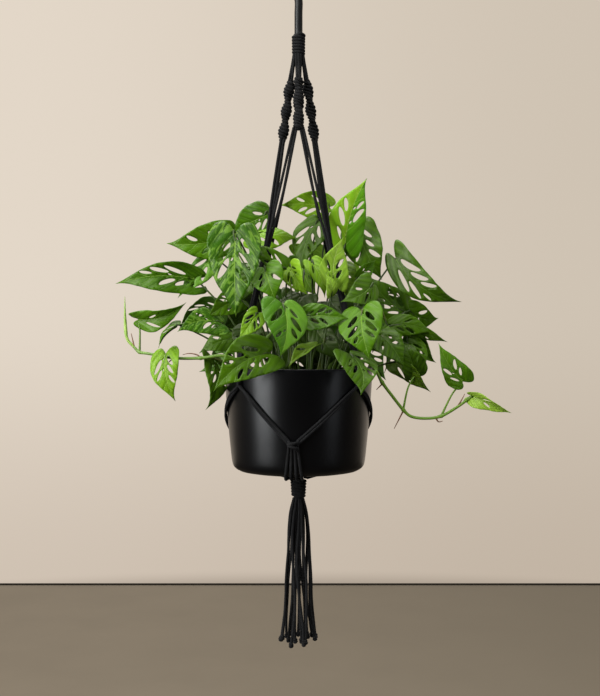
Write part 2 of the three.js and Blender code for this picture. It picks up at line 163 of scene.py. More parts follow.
def use_group(t, name, inputs=None):
    made = t.node("Group", node_tree=bpy.data.node_groups[name])
    for key, value in (inputs or {}).items():
        t.feed(made.inputs[key], value)
    return made

# %% [markdown]
# ## Two effects that several finishes share
#
# "mottle" is slow drift: no painted, grown or spun surface is the same tone all over. "grain" is the
# fine tooth that catches light: fibres on a cord, powder on paint, pores in a leaf. Both work in
# object space, so they stay put on the piece, and each material sets its own scale and strength.
# Two short helpers put them to use: mottled multiplies a colour by the drift, and set_relief turns
# a height into bump.

# %% Shared groups: mottle and grain
t, given, out = effect_group("mottle", [("Scale", "Float", 30.0), ("Low", "Float", 0.9),
                                        ("High", "Float", 1.1)], [("Value", "Float")])
place = t.node("TexCoord").outputs["Object"]
drift = t.node("TexNoise", {"Vector": place, "Scale": given.outputs["Scale"], "Detail": 4.0})
t.feed(out.inputs["Value"], t.node("MapRange", {0: drift.outputs[0], 1: 0.3, 2: 0.7,
       3: given.outputs["Low"], 4: given.outputs["High"]}).outputs[0])

t, given, out = effect_group("grain", [("Scale", "Float", 900.0), ("Stretch", "Vector", (1, 1, 1))],
                             [("Height", "Float")])
place = t.node("VectorMath", {0: t.node("TexCoord").outputs["Object"], 1: given.outputs["Stretch"]},
               operation="MULTIPLY").outputs[0]
fine = t.node("TexNoise", {"Vector": place, "Scale": given.outputs["Scale"], "Detail": 3.0,
                           "Roughness": 0.6})
t.feed(out.inputs["Height"], fine.outputs[0])
print("groups:", [g.name for g in bpy.data.node_groups])


def mottled(t, colour, scale, low, high):
    """The colour with a slow drift of brightness from low to high."""
    drift = use_group(t, "mottle", {"Scale": scale, "Low": low, "High": high})
    return t.blend(1.0, colour, drift.outputs[0], "MULTIPLY")


def set_relief(t, shader, strength, depth, height):
    """Small relief as a bump: depth is in metres, height a socket."""
    bump = t.node("Bump", {"Strength": strength, "Distance": depth, "Height": height})
    t.feed(shader.inputs["Normal"], bump.outputs[0])

# %% Floor and world
floor_finish, t, shader, _ = new_material("floor_plaster")
rightwards = t.node("SeparateXYZ", {0: t.node("TexCoord").outputs["Generated"]}).outputs[0]
# Darker to the right: painted shade, as the window is on the left.
lit = t.blend(t.band(rightwards, 0.42, 0.62), mottled(t, linear(186, 174, 157), 2.0, 0.96, 1.03),
              linear(160, 150, 134))
# Light bouncing off the floor finds it much darker than the camera sees it, so it throws little light up onto
# the plant and the pot.
seen = t.node("LightPath").outputs["Is Camera Ray"]
t.feed(shader.inputs["Base Color"], t.blend(seen, linear(92, 84, 74), lit))
shader.inputs["Roughness"].default_value = 0.9
# A strip of painted shade along the foot of the wall, where the wall meets the floor.
foot_shade_finish, t, shader, _ = new_material("wall_foot_painted_shade")
shader.inputs["Base Color"].default_value = linear(84, 76, 66)
shader.inputs["Roughness"].default_value = 1.0


def stage_sheet(name, near, far, material):
    """A plain rectangle as wide as the floor, between two lines given as (y, z)."""
    corners = [(-FLOOR_REACH, *near), (FLOOR_REACH, *near), (FLOOR_REACH, *far), (-FLOOR_REACH, *far)]
    new_object(name, corners, [range(4)], material, smooth=False)


FLOOR_Z = -2600
WALL_FOOT = 7710                         # how far behind the plant the floor ends
FLOOR_REACH = 16000
FOOT_SHADE_HEIGHT = 16
stage_sheet("floor", (-FLOOR_REACH, FLOOR_Z), (WALL_FOOT, FLOOR_Z), floor_finish)
# The strip of painted shade at the wall's foot.
stage_sheet("wall_foot_painted_shade", (WALL_FOOT - 1, FLOOR_Z), (WALL_FOOT - 1, FLOOR_Z + FOOT_SHADE_HEIGHT),
            foot_shade_finish)

world = bpy.data.worlds.new("studio")
bpy.context.scene.world = world
world.use_nodes = True
t = Tree(world.node_tree)
sky = world.node_tree.nodes["Background"]
direction = t.node("TexCoord").outputs["Generated"]
sideways, depth, height = t.node("SeparateXYZ", {0: direction}).outputs[:3]
wall = t.blend(t.band(sideways, -0.3, 0.3), linear(227, 215, 200), linear(207, 195, 179))
# Painted shade: the wall darkens towards the floor, and more in a thin band at its foot.
wall = t.blend(t.band(height, -0.24, 0.06, 0.40, 0.0), wall, linear(172, 154, 137))
wall = t.blend(t.band(height, -0.236, -0.215, 0.5, 0.0), wall, linear(104, 92, 78))
seen = t.node("LightPath").outputs["Is Camera Ray"]
room = t.blend(t.band(depth, -0.1, 0.5), linear(24, 24, 26), linear(224, 209, 190))
room = t.blend(t.band(height, 0.25, 0.9, 0.0, 0.7), room, linear(200, 198, 192))
t.feed(sky.inputs["Color"], t.blend(seen, room, wall))

# %% [markdown]
# ## Light
#
# One tall window-like light from the left, a little in front, draws the broad upright highlight on the
# pot and models the leaves. A weak one opposite keeps the shadow side readable. One high in front
# fills the crown, one above and behind separates the top leaves from the wall, and a bounce from the
# right lifts the leaves without showing in the pot. All are large, so that the shadows are soft. The
# room in front is dim and the wall behind is bright, which gives the thin tan edge down both sides of
# the pot.

# %% Lights
def area_light(name, place, aim, size, power, colour=(1, 1, 1)):
    lamp = bpy.data.lights.new(name, "AREA")
    lamp.shape = "RECTANGLE"
    lamp.size, lamp.size_y = size
    lamp.energy = power
    lamp.color = colour
    made = bpy.data.objects.new(name, lamp)
    made.location = place
    made.rotation_euler = (Vector(aim) - Vector(place)).to_track_quat("-Z", "Y").to_euler()
    bpy.context.collection.objects.link(made)
    return made


POT_CENTRE = (0, 0, -0.5)
area_light("window", (-1.42, -0.98, -0.02), POT_CENTRE, (0.95, 2.2), 57, (1.0, 0.99, 0.95))
area_light("fill", (1.45, -1.0, -0.3), POT_CENTRE, (0.5, 1.3), 3.8, (0.96, 0.98, 1.0))
area_light("front", (-0.35, -1.25, 1.25), POT_CENTRE, (1.0, 0.7), 22, (1.0, 0.99, 0.94))
area_light("top", (-0.2, 0.45, 0.9), (0, 0, -0.4), (1.2, 1.0), 20, (1.0, 0.98, 0.92))
bounce = area_light("bounce", (1.3, -0.7, -0.1), (0.1, 0, -0.44), (0.9, 0.9), 9, (1.0, 0.97, 0.88))
bounce.visible_glossy = False

# %% [markdown]
# ## Cord
#
# The hanger is one stock: a 3.5 mm black cotton cord of three plies twisted together. A plain pipe
# would look like cable, so the section is a three-lobed clover that turns as it goes along, which is
# just what three twisted plies make. The route is a smooth curve through a few chosen points. The
# same helper makes every straight strand, every wrap and every winding of a knot.

# %% Curve and tube helpers
CORD = 3.5
PLY_PITCH = 8.0
MAP_LENGTH = 100                         # one unit of a tube's map along its run


def smooth_line(points, step):
    """A Catmull-Rom curve through the points, sampled about every step."""
    p = np.asarray(points, float)
    p = np.vstack([2 * p[0] - p[1], p, 2 * p[-1] - p[-2]])
    line = []
    for a, b, c, d in zip(p[:-3], p[1:-2], p[2:-1], p[3:]):
        count = max(1, int(round(np.linalg.norm(c - b) / step)))
        for k in range(count):
            s = k / count
            line.append(0.5 * (2 * b + (c - a) * s + (2 * a - 5 * b + 4 * c - d) * s * s
                               + (3 * b - a - 3 * c + d) * s ** 3))
    line.append(p[-2])
    return np.array(line)


def run_along(line):
    """How far along its line each point lies."""
    return np.concatenate([[0], np.cumsum(np.linalg.norm(np.diff(line, axis=0), axis=1))])


def map_corners(made, name, u, v):
    """A named map on an object, from a U and a V for each of its points."""
    corner = np.empty(len(made.data.loops), np.int32)
    made.data.loops.foreach_get("vertex_index", corner)
    layer = made.data.uv_layers.new(name=name)
    layer.data.foreach_set("uv", np.column_stack([u, v])[corner].astype(np.float32).ravel())


def cross_directions(line):
    """Two steady directions across the line at each of its points."""
    tangent = np.gradient(line, axis=0)
    tangent /= np.linalg.norm(tangent, axis=1)[:, None]
    start = np.eye(3)[np.argmin(np.abs(tangent[0]))]
    across = np.cross(tangent[0], start)
    sides = []
    for direction in tangent:
        across = across - direction * across.dot(direction)
        across /= np.linalg.norm(across)
        sides.append(across)
    sides = np.array(sides)
    return sides, np.cross(tangent, sides)


def tube(name, line, radii, material, sides=12, lobes=0, depth=0.0, pitch=PLY_PITCH):
    """A closed tube along a line. With lobes, the section is a clover that twists once a pitch."""
    across, up = cross_directions(line)
    run = run_along(line)
    given_radii = np.atleast_1d(radii)
    radii = np.interp(np.linspace(0, 1, len(line)), np.linspace(0, 1, len(given_radii)), given_radii)
    angles = np.linspace(0, 2 * math.pi, sides, endpoint=False)
    swell = np.ones((len(line), sides))
    if lobes:
        turn = 0.5 * lobes * (angles[None, :] - (2 * math.pi / pitch) * run[:, None])
        swell = 1 - depth + depth * np.abs(np.cos(turn)) ** 0.7
    reach = radii[:, None] * swell
    rings = (line[:, None, :] + (reach * np.cos(angles))[..., None] * across[:, None, :]
             + (reach * np.sin(angles))[..., None] * up[:, None, :])
    points = rings.reshape(-1, 3)
    faces = []
    for i in range(len(line) - 1):
        a, b = i * sides, (i + 1) * sides
        faces += [(a + j, a + (j + 1) % sides, b + (j + 1) % sides, b + j) for j in range(sides)]
    faces += [tuple(range(sides))[::-1], tuple(range((len(line) - 1) * sides, len(line) * sides))]
    made = new_object(name, points, faces, material)
    map_corners(made, "along", np.repeat(run, sides) / MAP_LENGTH,
                np.tile(angles / (2 * math.pi), len(line)))
    return made

# %% Cord material: black cotton, lit along its fibres
cotton, t, shader, _ = new_material("black_cotton_cord")
uv = t.node("UVMap", uv_map="along").outputs[0]
lengthwise, about = t.node("SeparateXYZ", {0: uv}).outputs[:2]
slant = t.maths("ADD", t.maths("MULTIPLY", lengthwise, MAP_LENGTH / PLY_PITCH), about)
fibre_place = t.node("CombineXYZ", {0: t.maths("MULTIPLY", slant, 22.0),
                                    1: t.maths("MULTIPLY", lengthwise, 40.0), 2: about})
fibres = t.node("TexNoise", {"Vector": fibre_place.outputs[0], "Scale": 2.2, "Detail": 3.0})
black = t.blend(t.band(fibres.outputs[0], 0.45, 0.72), linear(9, 9, 10), linear(34, 35, 38))
t.feed(shader.inputs["Base Color"], mottled(t, black, 120.0, 0.75, 1.35))
fuzz = use_group(t, "grain", {"Scale": 2600.0})
set_relief(t, shader, 0.5, 0.0003, t.maths("ADD", fibres.outputs[0],
                                           t.maths("MULTIPLY", fuzz.outputs[0], 0.5)))
shader.inputs["Roughness"].default_value = 0.82
shader.inputs["Specular IOR Level"].default_value = 0.15
shader.inputs["Sheen Weight"].default_value = 0.04
shader.inputs["Sheen Roughness"].default_value = 0.5
shader.inputs["Sheen Tint"].default_value = (0.6, 0.62, 0.68, 1)


def cord(name, line, diameter=CORD, sides=12):
    return tube(name, line, diameter / 2, cotton, sides, lobes=3, depth=0.16)


def around(radius, degrees, z):
    """A point at an angle from the front, turning towards the right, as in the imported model."""
    a = math.radians(degrees)
    return np.array([radius * math.sin(a), -radius * math.cos(a), z])


def coil(radius_at, top, bottom, pitch, start=0.0, step=0.12):
    """A helix running down, whose radius depends on the share of the way."""
    turns = (top - bottom) / pitch
    count = int(turns * 2 * math.pi / step)
    share = np.linspace(0, 1, count)
    angle = start + share * turns * 2 * math.pi
    radius = np.array([radius_at(s) for s in share])
    return np.column_stack([radius * np.sin(angle), -radius * np.cos(angle),
                            top + (bottom - top) * share])

# %% [markdown]
# ## The tassel's strands come first
#
# Sixteen cord ends hang free below the lower wrap, with the two ends of the cord that binds it. They
# are the only free cords here: everything above is held tight between the hook and the pot. Each
# strand starts packed under the wrap, falls almost straight, wavers a little, parts from its
# neighbours towards the end, and stops in a small hard knot. The outline is a table of the tassel's
# radius at a few heights.

# %% Tassel
STRAND_TOP, STRAND_FOOT = -664.6, -832
TASSEL_OUTLINE = [(-664, 7.6), (-676, 11.4), (-690, 14.0), (-712, 15.4), (-735, 15.9), (-760, 17.6),
                  (-790, 18.4), (-807, 20.3), (-825, 22.6), (-846, 24.4)]
outline_z = np.array([z for z, _ in TASSEL_OUTLINE])[::-1]
outline_r = np.array([r for _, r in TASSEL_OUTLINE])[::-1]
rng = random.Random(41)
strand_places = [(0.30 + 0.13 * (k % 3), 51 * k + 20) for k in range(7)]
strand_places += [(1.0, 360 / 11 * k + rng.uniform(-8, 8)) for k in range(11)]
strands = []
for number, (share, angle) in enumerate(strand_places):
    end = STRAND_FOOT - 7 * rng.random()
    sway = rng.uniform(-12, 12)
    bow = rng.uniform(-1.8, 1.2)
    points = []
    for s in np.linspace(0, 1, 11):
        z = STRAND_TOP + (end - STRAND_TOP) * s
        room = np.interp(z, outline_z, outline_r) - CORD / 2 - 0.3
        radius = min(room, max(0.3, share * room + bow * math.sin(math.pi * s)))
        points.append(around(radius, angle + sway * s * s + 9 * math.sin(7 * s + 2 * number), z))
    strands.append(smooth_line(points, 1.4))


def end_knot(name, end, heading, seed):
    """The small hard knot at a strand's end, which keeps its plies from opening."""
    draw = random.Random(seed)
    size = draw.uniform(0.9, 1.12)
    lean = np.array([draw.uniform(-0.25, 0.25), draw.uniform(-0.25, 0.25), 0.0])
    line = smooth_line([end, end + heading * 3.4 * size, end + (heading + lean) * 6.6 * size], 0.5)
    radii = np.array([1.5, 2.5, 3.2, 2.8, 2.8, 3.2, 2.6, 1.2]) * size
    return tube(name, line, radii, cotton, 18, lobes=3, depth=0.22, pitch=5.5)


for number, line in enumerate(strands):
    strand = keep(cord(f"tassel_strand_{number + 1}", line), "cotton_cord", "tassel")
    heading = line[-1] - line[-4]
    heading = heading / np.linalg.norm(heading)
    tuft = keep(end_knot(f"tassel_end_{number + 1}", line[-1] - heading, heading, number),
                "cotton_cord", "tassel")
    length = float(run_along(line)[-1])
print("tassel strands:", len(strands), "of about", round(length), "mm")

# %% [markdown]
# ## Wraps
#
# Above the pot and below it, the cords are bound by winding one cord round the bundle: a wrapping
# knot. It is a plain helix whose pitch is the cord's own thickness, so that the turns lie touching.
# The upper one starts with a slightly wider turn, which is the loop end tucked over the rod's eye.

# %% Upper and lower wraps
def top_wrap_radius(share):
    return 6.7 + 0.45 * max(0.0, 1 - share * 8) - 0.3 * share


def lower_wrap_radius(share):
    return 8.3 - 1.3 * share


def wrapping_knot(node, winding, core_heights, core_radii):
    """A wrap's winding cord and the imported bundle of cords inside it."""
    keep(cord(f"{node}_cord", winding, WRAP_CORD), "cotton_cord", node)
    core = tube(f"{node}_core", smooth_line([(0, 0, z) for z in core_heights], 2), core_radii, cotton, 24)
    keep(core, "cotton_cord", node)


WRAP_CORD = 3.8                          # the binding cord, pressed a little wider than it hangs
TOP_WRAP = (-94.2, -119.0)
LOWER_WRAP = (-643.8, -663.2)
wrapping_knot("top_wrap", coil(top_wrap_radius, *TOP_WRAP, 3.7), (-94, -106, -119), 6.3)
wrapping_knot("lower_wrap", coil(lower_wrap_radius, *LOWER_WRAP, 3.6, 1.2), (-641.5, -652, -665),
              (7.4, 5.8))

# %% Top cords: sixteen strands fanning out to four sennits
SENNIT_TOP = -150.4
SENNIT_LENGTHS = {0: 64, 90: 74.5, 180: 56, 270: 74.5}
SQUARE = [(-1, -1), (1, -1), (-1, 1), (1, 1)]
STARTS = [(5.5, -30), (5.5, 30), (2.1, 0), (5.6, 0)]     # radius and turn under the wrap
for group, facing in enumerate((0, 90, 180, 270)):
    for number, ((side, depth), (radius, turn)) in enumerate(zip(SQUARE, STARTS)):
        low = around(10.2 + 1.7 * depth, facing, SENNIT_TOP - 2)
        low = low + around(1.7 * side, facing + 90, 0)
        top = around(radius, facing + turn, -117.5)
        middle = (top * 0.62 + low * 0.38) + np.array([0, 0, -1.5])
        route = smooth_line([top, middle, low], 1.2)
        keep(cord(f"top_cord_{group + 1}_{number + 1}", route), "cotton_cord", "top_cords")

# %% [markdown]
# ## Sennits
#
# Below the fan, each group of four cords is tied in half knots that are always made the same way
# round. Such a braid can't stay flat: it turns on itself like a spiral stair, and from the side it
# looks like a row of beads. Two cords do the winding round a core of two. Here each winding cord
# follows a flat oval round the core, and the oval itself turns up to one and a half times on the way
# down. The front and back sennits are one and two knots shorter than the side ones.

# %% Spiral sennits
SENNIT_TWIST = 7.25                      # degrees the braid turns in each millimetre
KNOT_PITCH = 9.4
WINDING = 4.3                            # the working cords, flattened a little by the knots


def sennit_length(facing):
    return SENNIT_LENGTHS[facing % 360]


def sennit_line(facing, phase):
    """The route of one winding cord round a sennit's core."""
    length = sennit_length(facing)
    top, low = around(10, facing, SENNIT_TOP), around(20, facing, SENNIT_TOP - length)
    turns = length / KNOT_PITCH
    count = int(turns * 26)
    line = []
    for k in range(count + 1):
        share = k / count
        twist = math.radians(SENNIT_TWIST * length * share + facing)
        fullness = min(1.0, 0.62 + 7 * share, 0.62 + 7 * (1 - share))
        wind = 2 * math.pi * turns * share + phase
        flat, thick = 5.1 * fullness * math.cos(wind), 2.2 * math.sin(wind)
        offset = np.array([flat * math.cos(twist) - thick * math.sin(twist),
                           flat * math.sin(twist) + thick * math.cos(twist), 0])
        line.append(top + (low - top) * share + offset)
    return np.array(line)


for side, facing in (("front", 0), ("right", 90), ("back", 180), ("left", 270)):
    for number, phase in enumerate((0, math.pi)):
        winding = cord(f"sennit_{side}_winding_{number + 1}", sennit_line(facing, phase), WINDING, 12)
        keep(winding, "cotton_cord", f"sennit_{side}")
    length = sennit_length(facing)
    core_ends = [around(10, facing, SENNIT_TOP + 1), around(15, facing, SENNIT_TOP - length / 2),
                 around(20, facing, SENNIT_TOP - length - 1)]
    core = tube(f"sennit_{side}_core", smooth_line(core_ends, 2), 2.6, cotton, 16)
    keep(core, "cotton_cord", f"sennit_{side}")

# %% [markdown]
# ## Slings
#
# Each sennit lets its four cords go in pairs to the two slings beside it. A sling is therefore four
# cords: two from one sennit and two from the next. They come together among the leaves, run over
# the rim as a tight bundle, and part again into two legs that lie on the wall of the pot. Every cord
# is drawn as one unbroken line from sennit to knot, because that is what it is.

# %% Pot outline, shared by the pot and by the cords that lie on it
POT_WALL = [(66, -630.5), (73, -629.2), (78.6, -625.6), (81.6, -618.5), (84.3, -595), (87, -566),
            (89.6, -532), (91, -504.5)]
wall_z = np.array([z for _, z in POT_WALL])
wall_r = np.array([r for r, _ in POT_WALL])


def pot_radius(z):
    return float(np.interp(z, wall_z, wall_r))


# %% Sling cords
KNOT_TURNS = {"front": -4, "right": 115, "back": 180, "left": 245}
GATHER = (50, -355)
RIM_Z = -504.5
PART_Z = -522
KNOT_Z = -592
SLINGS = {
    "front_right": (48, (KNOT_TURNS["front"], KNOT_TURNS["right"]), (0, 90)),
    "back_right": (132, (KNOT_TURNS["right"], KNOT_TURNS["back"]), (90, 180)),
    "back_left": (228, (KNOT_TURNS["back"], KNOT_TURNS["left"]), (180, 270)),
    "front_left": (312, (KNOT_TURNS["left"], 360 + KNOT_TURNS["front"]), (270, 360)),
}


def sling_line(turn, to_knot, from_sennit, inner):
    """One cord of a sling: inner is -1 or 1, the side of its pair it keeps all the way."""
    side = 1 if to_knot > turn else -1
    out = around(1, turn, 0)
    sideways = around(1, turn + 90, 0)
    square = CORD / 2 * (side * sideways + inner * out)
    start_turn = from_sennit + (turn - from_sennit) * 0.24
    apart, spread = np.array([math.copysign(inner, inner * out[0]), 0.0, 0.0]), 1.0
    if from_sennit % 360 == 0:
        spread = 1.5
    elif from_sennit == 180:
        apart = np.array([0.0, inner, 0.0])
    start = around(20, start_turn, SENNIT_TOP - sennit_length(from_sennit) + 2) + CORD / 2 * apart
    halfway = around(34, (start_turn + 2 * turn) / 3, -288) + CORD / 2 * spread * apart
    points = [start, halfway, around(GATHER[0], turn, GATHER[1]) + square,
              around(62, turn, -396) + square, around(73.5, turn, -434) + square,
              around(84.5, turn, -472) + square, around(95.2, turn, RIM_Z) + square,
              around(94.8, turn, -513) + square]
    goal = to_knot - side * 3.2
    for s in (0.0, 0.2, 0.4, 0.6, 0.8, 1.0):
        z = PART_Z + (KNOT_Z + 3 - PART_Z) * s
        lift = CORD / 2 + 0.35 + (1.2 * (1 - s * 3) * (1 + inner) if s < 0.33 else 0)
        reach = pot_radius(z) + lift
        degrees = turn + (goal - turn) * s
        drop = 1.9 * inner * min(1.0, s * 4)
        points.append(around(reach, degrees, z + drop - 1.2 * (1 - s)))
    return smooth_line(points, 1.4)


for name, (turn, knots, sennits) in SLINGS.items():
    for to_knot, from_sennit in zip(knots, sennits):
        for inner in (-1, 1):
            label = f"sling_{name}_{int(from_sennit)}_{'outer' if inner > 0 else 'inner'}"
            keep(cord(label, sling_line(turn, to_knot, from_sennit, inner)), "cotton_cord",
                 f"sling_{name}")

# %% [markdown]
# ## Knots and tails on the pot
#
# Where two legs meet on the wall they are tied in a square knot: two half knots, one to each side.
# Seen from outside it is two crossed bars over four cords. The four cords go on as tails, down the
# wall, round the base and in to the lower wrap, spreading a little as they go.

# %% Wall knots and tails
def on_wall(turn, across, out, z):
    """A point beside the line of a knot: across and out in millimetres, at a height."""
    base = around(pot_radius(z) + out, turn, z)
    return base + across * around(1, turn + 90, 0)


def knot_bar(turn, z, tilt, reach, lift):
    """A cord that passes over the front of the tails and tucks in behind at both sides."""
    points = []
    for a in np.linspace(-0.15, 1.15, 12) * math.pi:
        points.append(on_wall(turn, reach * math.cos(a), 3.2 + lift * math.sin(a), z + tilt * math.cos(a)))
    return smooth_line(points, 0.8)


TAIL_WALL = [-588, -597, -606, -617]
for side, turn in KNOT_TURNS.items():
    bars = [knot_bar(turn, KNOT_Z + 2.6, 1.6, 5.6, 4.6), knot_bar(turn, KNOT_Z - 1.6, -1.7, 5.4, 4.4),
            smooth_line([on_wall(turn, -5.2, 3.4, KNOT_Z + 5), on_wall(turn, -2.6, 6.6, KNOT_Z + 2),
                         on_wall(turn, 1.6, 7.0, KNOT_Z - 2), on_wall(turn, 4.6, 3.6, KNOT_Z - 5.5)], 0.8)]
    for number, bar in enumerate(bars):
        keep(cord(f"wall_knot_{side}_{number + 1}", bar, 3.4), "cotton_cord", f"wall_knot_{side}")
    for number, share in enumerate((-1, -0.34, 0.34, 1)):
        lift = CORD / 2 + 0.4
        points = [on_wall(turn, share * 4.6, lift + 1.2, TAIL_WALL[0])]
        points += [on_wall(turn, share * (5.2 + 1.3 * k), lift, z) for k, z in enumerate(TAIL_WALL[1:])]
        for radius, z, spread in ((81.0, -627.6, 9.2), (73.2, -632.6, 9.6), (60, -633.4, 8.6),
                                  (30, -636.2, 5.6), (9.4, -640.2, 4.4)):
            points.append(around(radius, turn, z) + share * spread * around(1, turn + 90, 0))
        keep(cord(f"tail_{side}_{number + 1}", smooth_line(points, 1.4)), "cotton_cord", f"tails_{side}")
print("cotton pieces:", sum(1 for mesh in bpy.data.meshes if cotton.name in mesh.materials))

# %% [markdown]
# ## Pot
#
# The pot is spun from sheet metal and powder coated in satin black. Spinning leaves a rolled lip and
# very faint rings; the powder melts to a slight orange-peel. The outline is turned round the axis in
# fine steps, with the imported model's own radii, and the paint gets its peel, its rings and a slow
# change of gloss where hands have polished it.

# %% Pot
def turned(name, profile, material, segments=192):
    """A solid of revolution whose profile starts and ends on the axis."""
    angles = np.linspace(0, 2 * math.pi, segments, endpoint=False)
    inner = profile[1:-1]
    points = [(r * math.cos(a), r * math.sin(a), z) for r, z in inner for a in angles]
    faces = []
    for i in range(len(inner) - 1):
        a, b = i * segments, (i + 1) * segments
        faces += [(a + j, a + (j + 1) % segments, b + (j + 1) % segments, b + j) for j in range(segments)]
    first, last = len(points), len(points) + 1
    points += [(0, 0, profile[0][1]), (0, 0, profile[-1][1])]
    top = (len(inner) - 1) * segments
    faces += [(first, (j + 1) % segments, j) for j in range(segments)]
    faces += [(last, top + j, top + (j + 1) % segments) for j in range(segments)]
    return new_object(name, points, faces, material)


def rounded(points, step):
    """The same profile with its bends smoothed."""
    line = smooth_line([(r, 0, z) for r, z in points], step)
    return [(x, z) for x, _, z in line]


paint, t, shader, _ = new_material("satin_black_powder_coat")
gloss = use_group(t, "mottle", {"Scale": 9.0, "Low": 0.28, "High": 0.33})
t.feed(shader.inputs["Roughness"], gloss.outputs[0])
t.feed(shader.inputs["Base Color"], mottled(t, linear(4, 4, 5), 25.0, 0.9, 1.12))
peel = use_group(t, "grain", {"Scale": 1300.0})
rings = use_group(t, "grain", {"Scale": 60.0, "Stretch": (0.15, 0.15, 30)})
set_relief(t, shader, 0.16, 0.0002, t.maths("ADD", peel.outputs[0],
                                            t.maths("MULTIPLY", rings.outputs[0], 0.6)))
shader.inputs["Specular IOR Level"].default_value = 0.3
shader.inputs["Specular Tint"].default_value = (0.9, 0.94, 1.0, 1)
wall = rounded(POT_WALL[1:-1] + [(90.7, -510)], 2.5)
LIP = 1.3                                # radius of the rolled lip
lip = [(POT_WALL[-1][0] - LIP + LIP * math.cos(a), RIM_Z - LIP + LIP * math.sin(a))
       for a in np.linspace(0, math.pi, 9)]
inner_wall = rounded([(88.2, -508), (87, -532), (84.4, -566), (81.7, -595), (78.9, -617),
                      (75.8, -622.6), (68, -627.3)], 4)
outline = [(0, -630.5), (66, -630.5)] + wall + lip + inner_wall + [(0, -627.5)]
pot = turned("pot_shell", outline, paint)
keep(pot, "pot_metal", "pot")

# %% [markdown]
# ## Soil
#
# Potting mix is loose: peat crumbs, strips of bark and a few grains of white perlite. The ground is a
# disc pushed up and down by layered waves, and hundreds of small faceted crumbs lie on it, so that
# its edge against the pot is broken and dark, as in any planted pot.

# %% Soil
earth, t, shader, _ = new_material("damp_potting_mix")
t.feed(shader.inputs["Base Color"], mottled(t, linear(44, 31, 22), 160.0, 0.55, 1.5))
set_relief(t, shader, 0.9, 0.0012, use_group(t, "grain", {"Scale": 700.0}).outputs[0])
shader.inputs["Roughness"].default_value = 0.95
perlite, t, shader, _ = new_material("perlite_grain")
t.feed(shader.inputs["Base Color"], mottled(t, linear(206, 200, 188), 400.0, 0.8, 1.1))
shader.inputs["Roughness"].default_value = 0.9

SOIL_TOP = -521
SOIL_EDGE = 86.9                         # where the ground meets the pot
SKIRT = (83, -560)                       # radius and height of its hidden lower edge
CRUMB_REACH = 83                         # how far out from the middle crumbs lie
RINGS, SPOKES = 30, 96
points, faces = [(0, 0, SOIL_TOP + 1)], []
for i in range(1, RINGS + 1):
    radius = SOIL_EDGE * i / RINGS
    for j in range(SPOKES):
        a = 2 * math.pi * j / SPOKES
        x, y = radius * math.cos(a), radius * math.sin(a)
        wave = math.sin(x * 0.21 + 1) * math.cos(y * 0.17) + 0.6 * math.sin(x * 0.5 - y * 0.43)
        points.append((x, y, SOIL_TOP + 0.8 * wave * (1 - (i / RINGS) ** 6) - 1.2 * (i / RINGS) ** 4))
faces += [(0, 1 + j, 1 + (j + 1) % SPOKES) for j in range(SPOKES)]
for i in range(RINGS - 1):
    a, b = 1 + i * SPOKES, 1 + (i + 1) * SPOKES
    faces += [(a + j, b + j, b + (j + 1) % SPOKES, a + (j + 1) % SPOKES) for j in range(SPOKES)]
edge = 1 + (RINGS - 1) * SPOKES
skirt = len(points)
points += [(SKIRT[0] * math.cos(2 * math.pi * j / SPOKES), SKIRT[0] * math.sin(2 * math.pi * j / SPOKES),
            SKIRT[1]) for j in range(SPOKES)]
faces += [(edge + j, skirt + j, skirt + (j + 1) % SPOKES, edge + (j + 1) % SPOKES) for j in range(SPOKES)]
faces.append(tuple(range(skirt, skirt + SPOKES))[::-1])
keep(new_object("soil_ground", points, faces, earth), "potting_soil", "soil")


def crumb_heap(name, count, size, material, seed):
    """Loose angular crumbs, each a squashed and jittered octahedron."""
    draw = random.Random(seed)
    corners = np.array([(1, 0, 0), (0, 1, 0), (-1, 0, 0), (0, -1, 0), (0, 0, 1), (0, 0, -1)], float)
    sides = [(0, 1, 4), (1, 2, 4), (2, 3, 4), (3, 0, 4), (1, 0, 5), (2, 1, 5), (3, 2, 5), (0, 3, 5)]
    points, faces = [], []
    for _ in range(count):
        radius = CRUMB_REACH * math.sqrt(draw.random())
        turn = draw.uniform(0, 2 * math.pi)
        scale = np.array([draw.uniform(0.6, 1.6), draw.uniform(0.5, 1.0), draw.uniform(0.35, 0.7)])
        spin = draw.uniform(0, math.pi)
        shape = corners * scale * draw.uniform(*size)
        shape = shape + np.array([[draw.uniform(-0.3, 0.3) for _ in range(3)] for _ in range(6)])
        c, s = math.cos(spin), math.sin(spin)
        rotate = np.array([[c, -s, 0], [s, c, 0], [0, 0, 1]])
        centre = (radius * math.cos(turn), radius * math.sin(turn), SOIL_TOP + 0.7)
        base = len(points)
        points += list(shape @ rotate.T + centre)
        faces += [tuple(base + i for i in side) for side in sides]
    return new_object(name, points, faces, material, smooth=False)


keep(crumb_heap("soil_crumbs", 900, (0.8, 2.6), earth, 5), "potting_soil", "soil")
keep(crumb_heap("soil_perlite", 60, (0.7, 1.4), perlite, 6), "potting_soil", "soil")

# %% [markdown]
# ## Hanging rod
#
# A smooth 10 mm rod of dark grey steel, bent to an open hook at the top and running down into the
# upper wrap. It is the one hard, bright line of the whole hanger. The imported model's own points
# guide a finer tube, and its cut ends are rounded over.

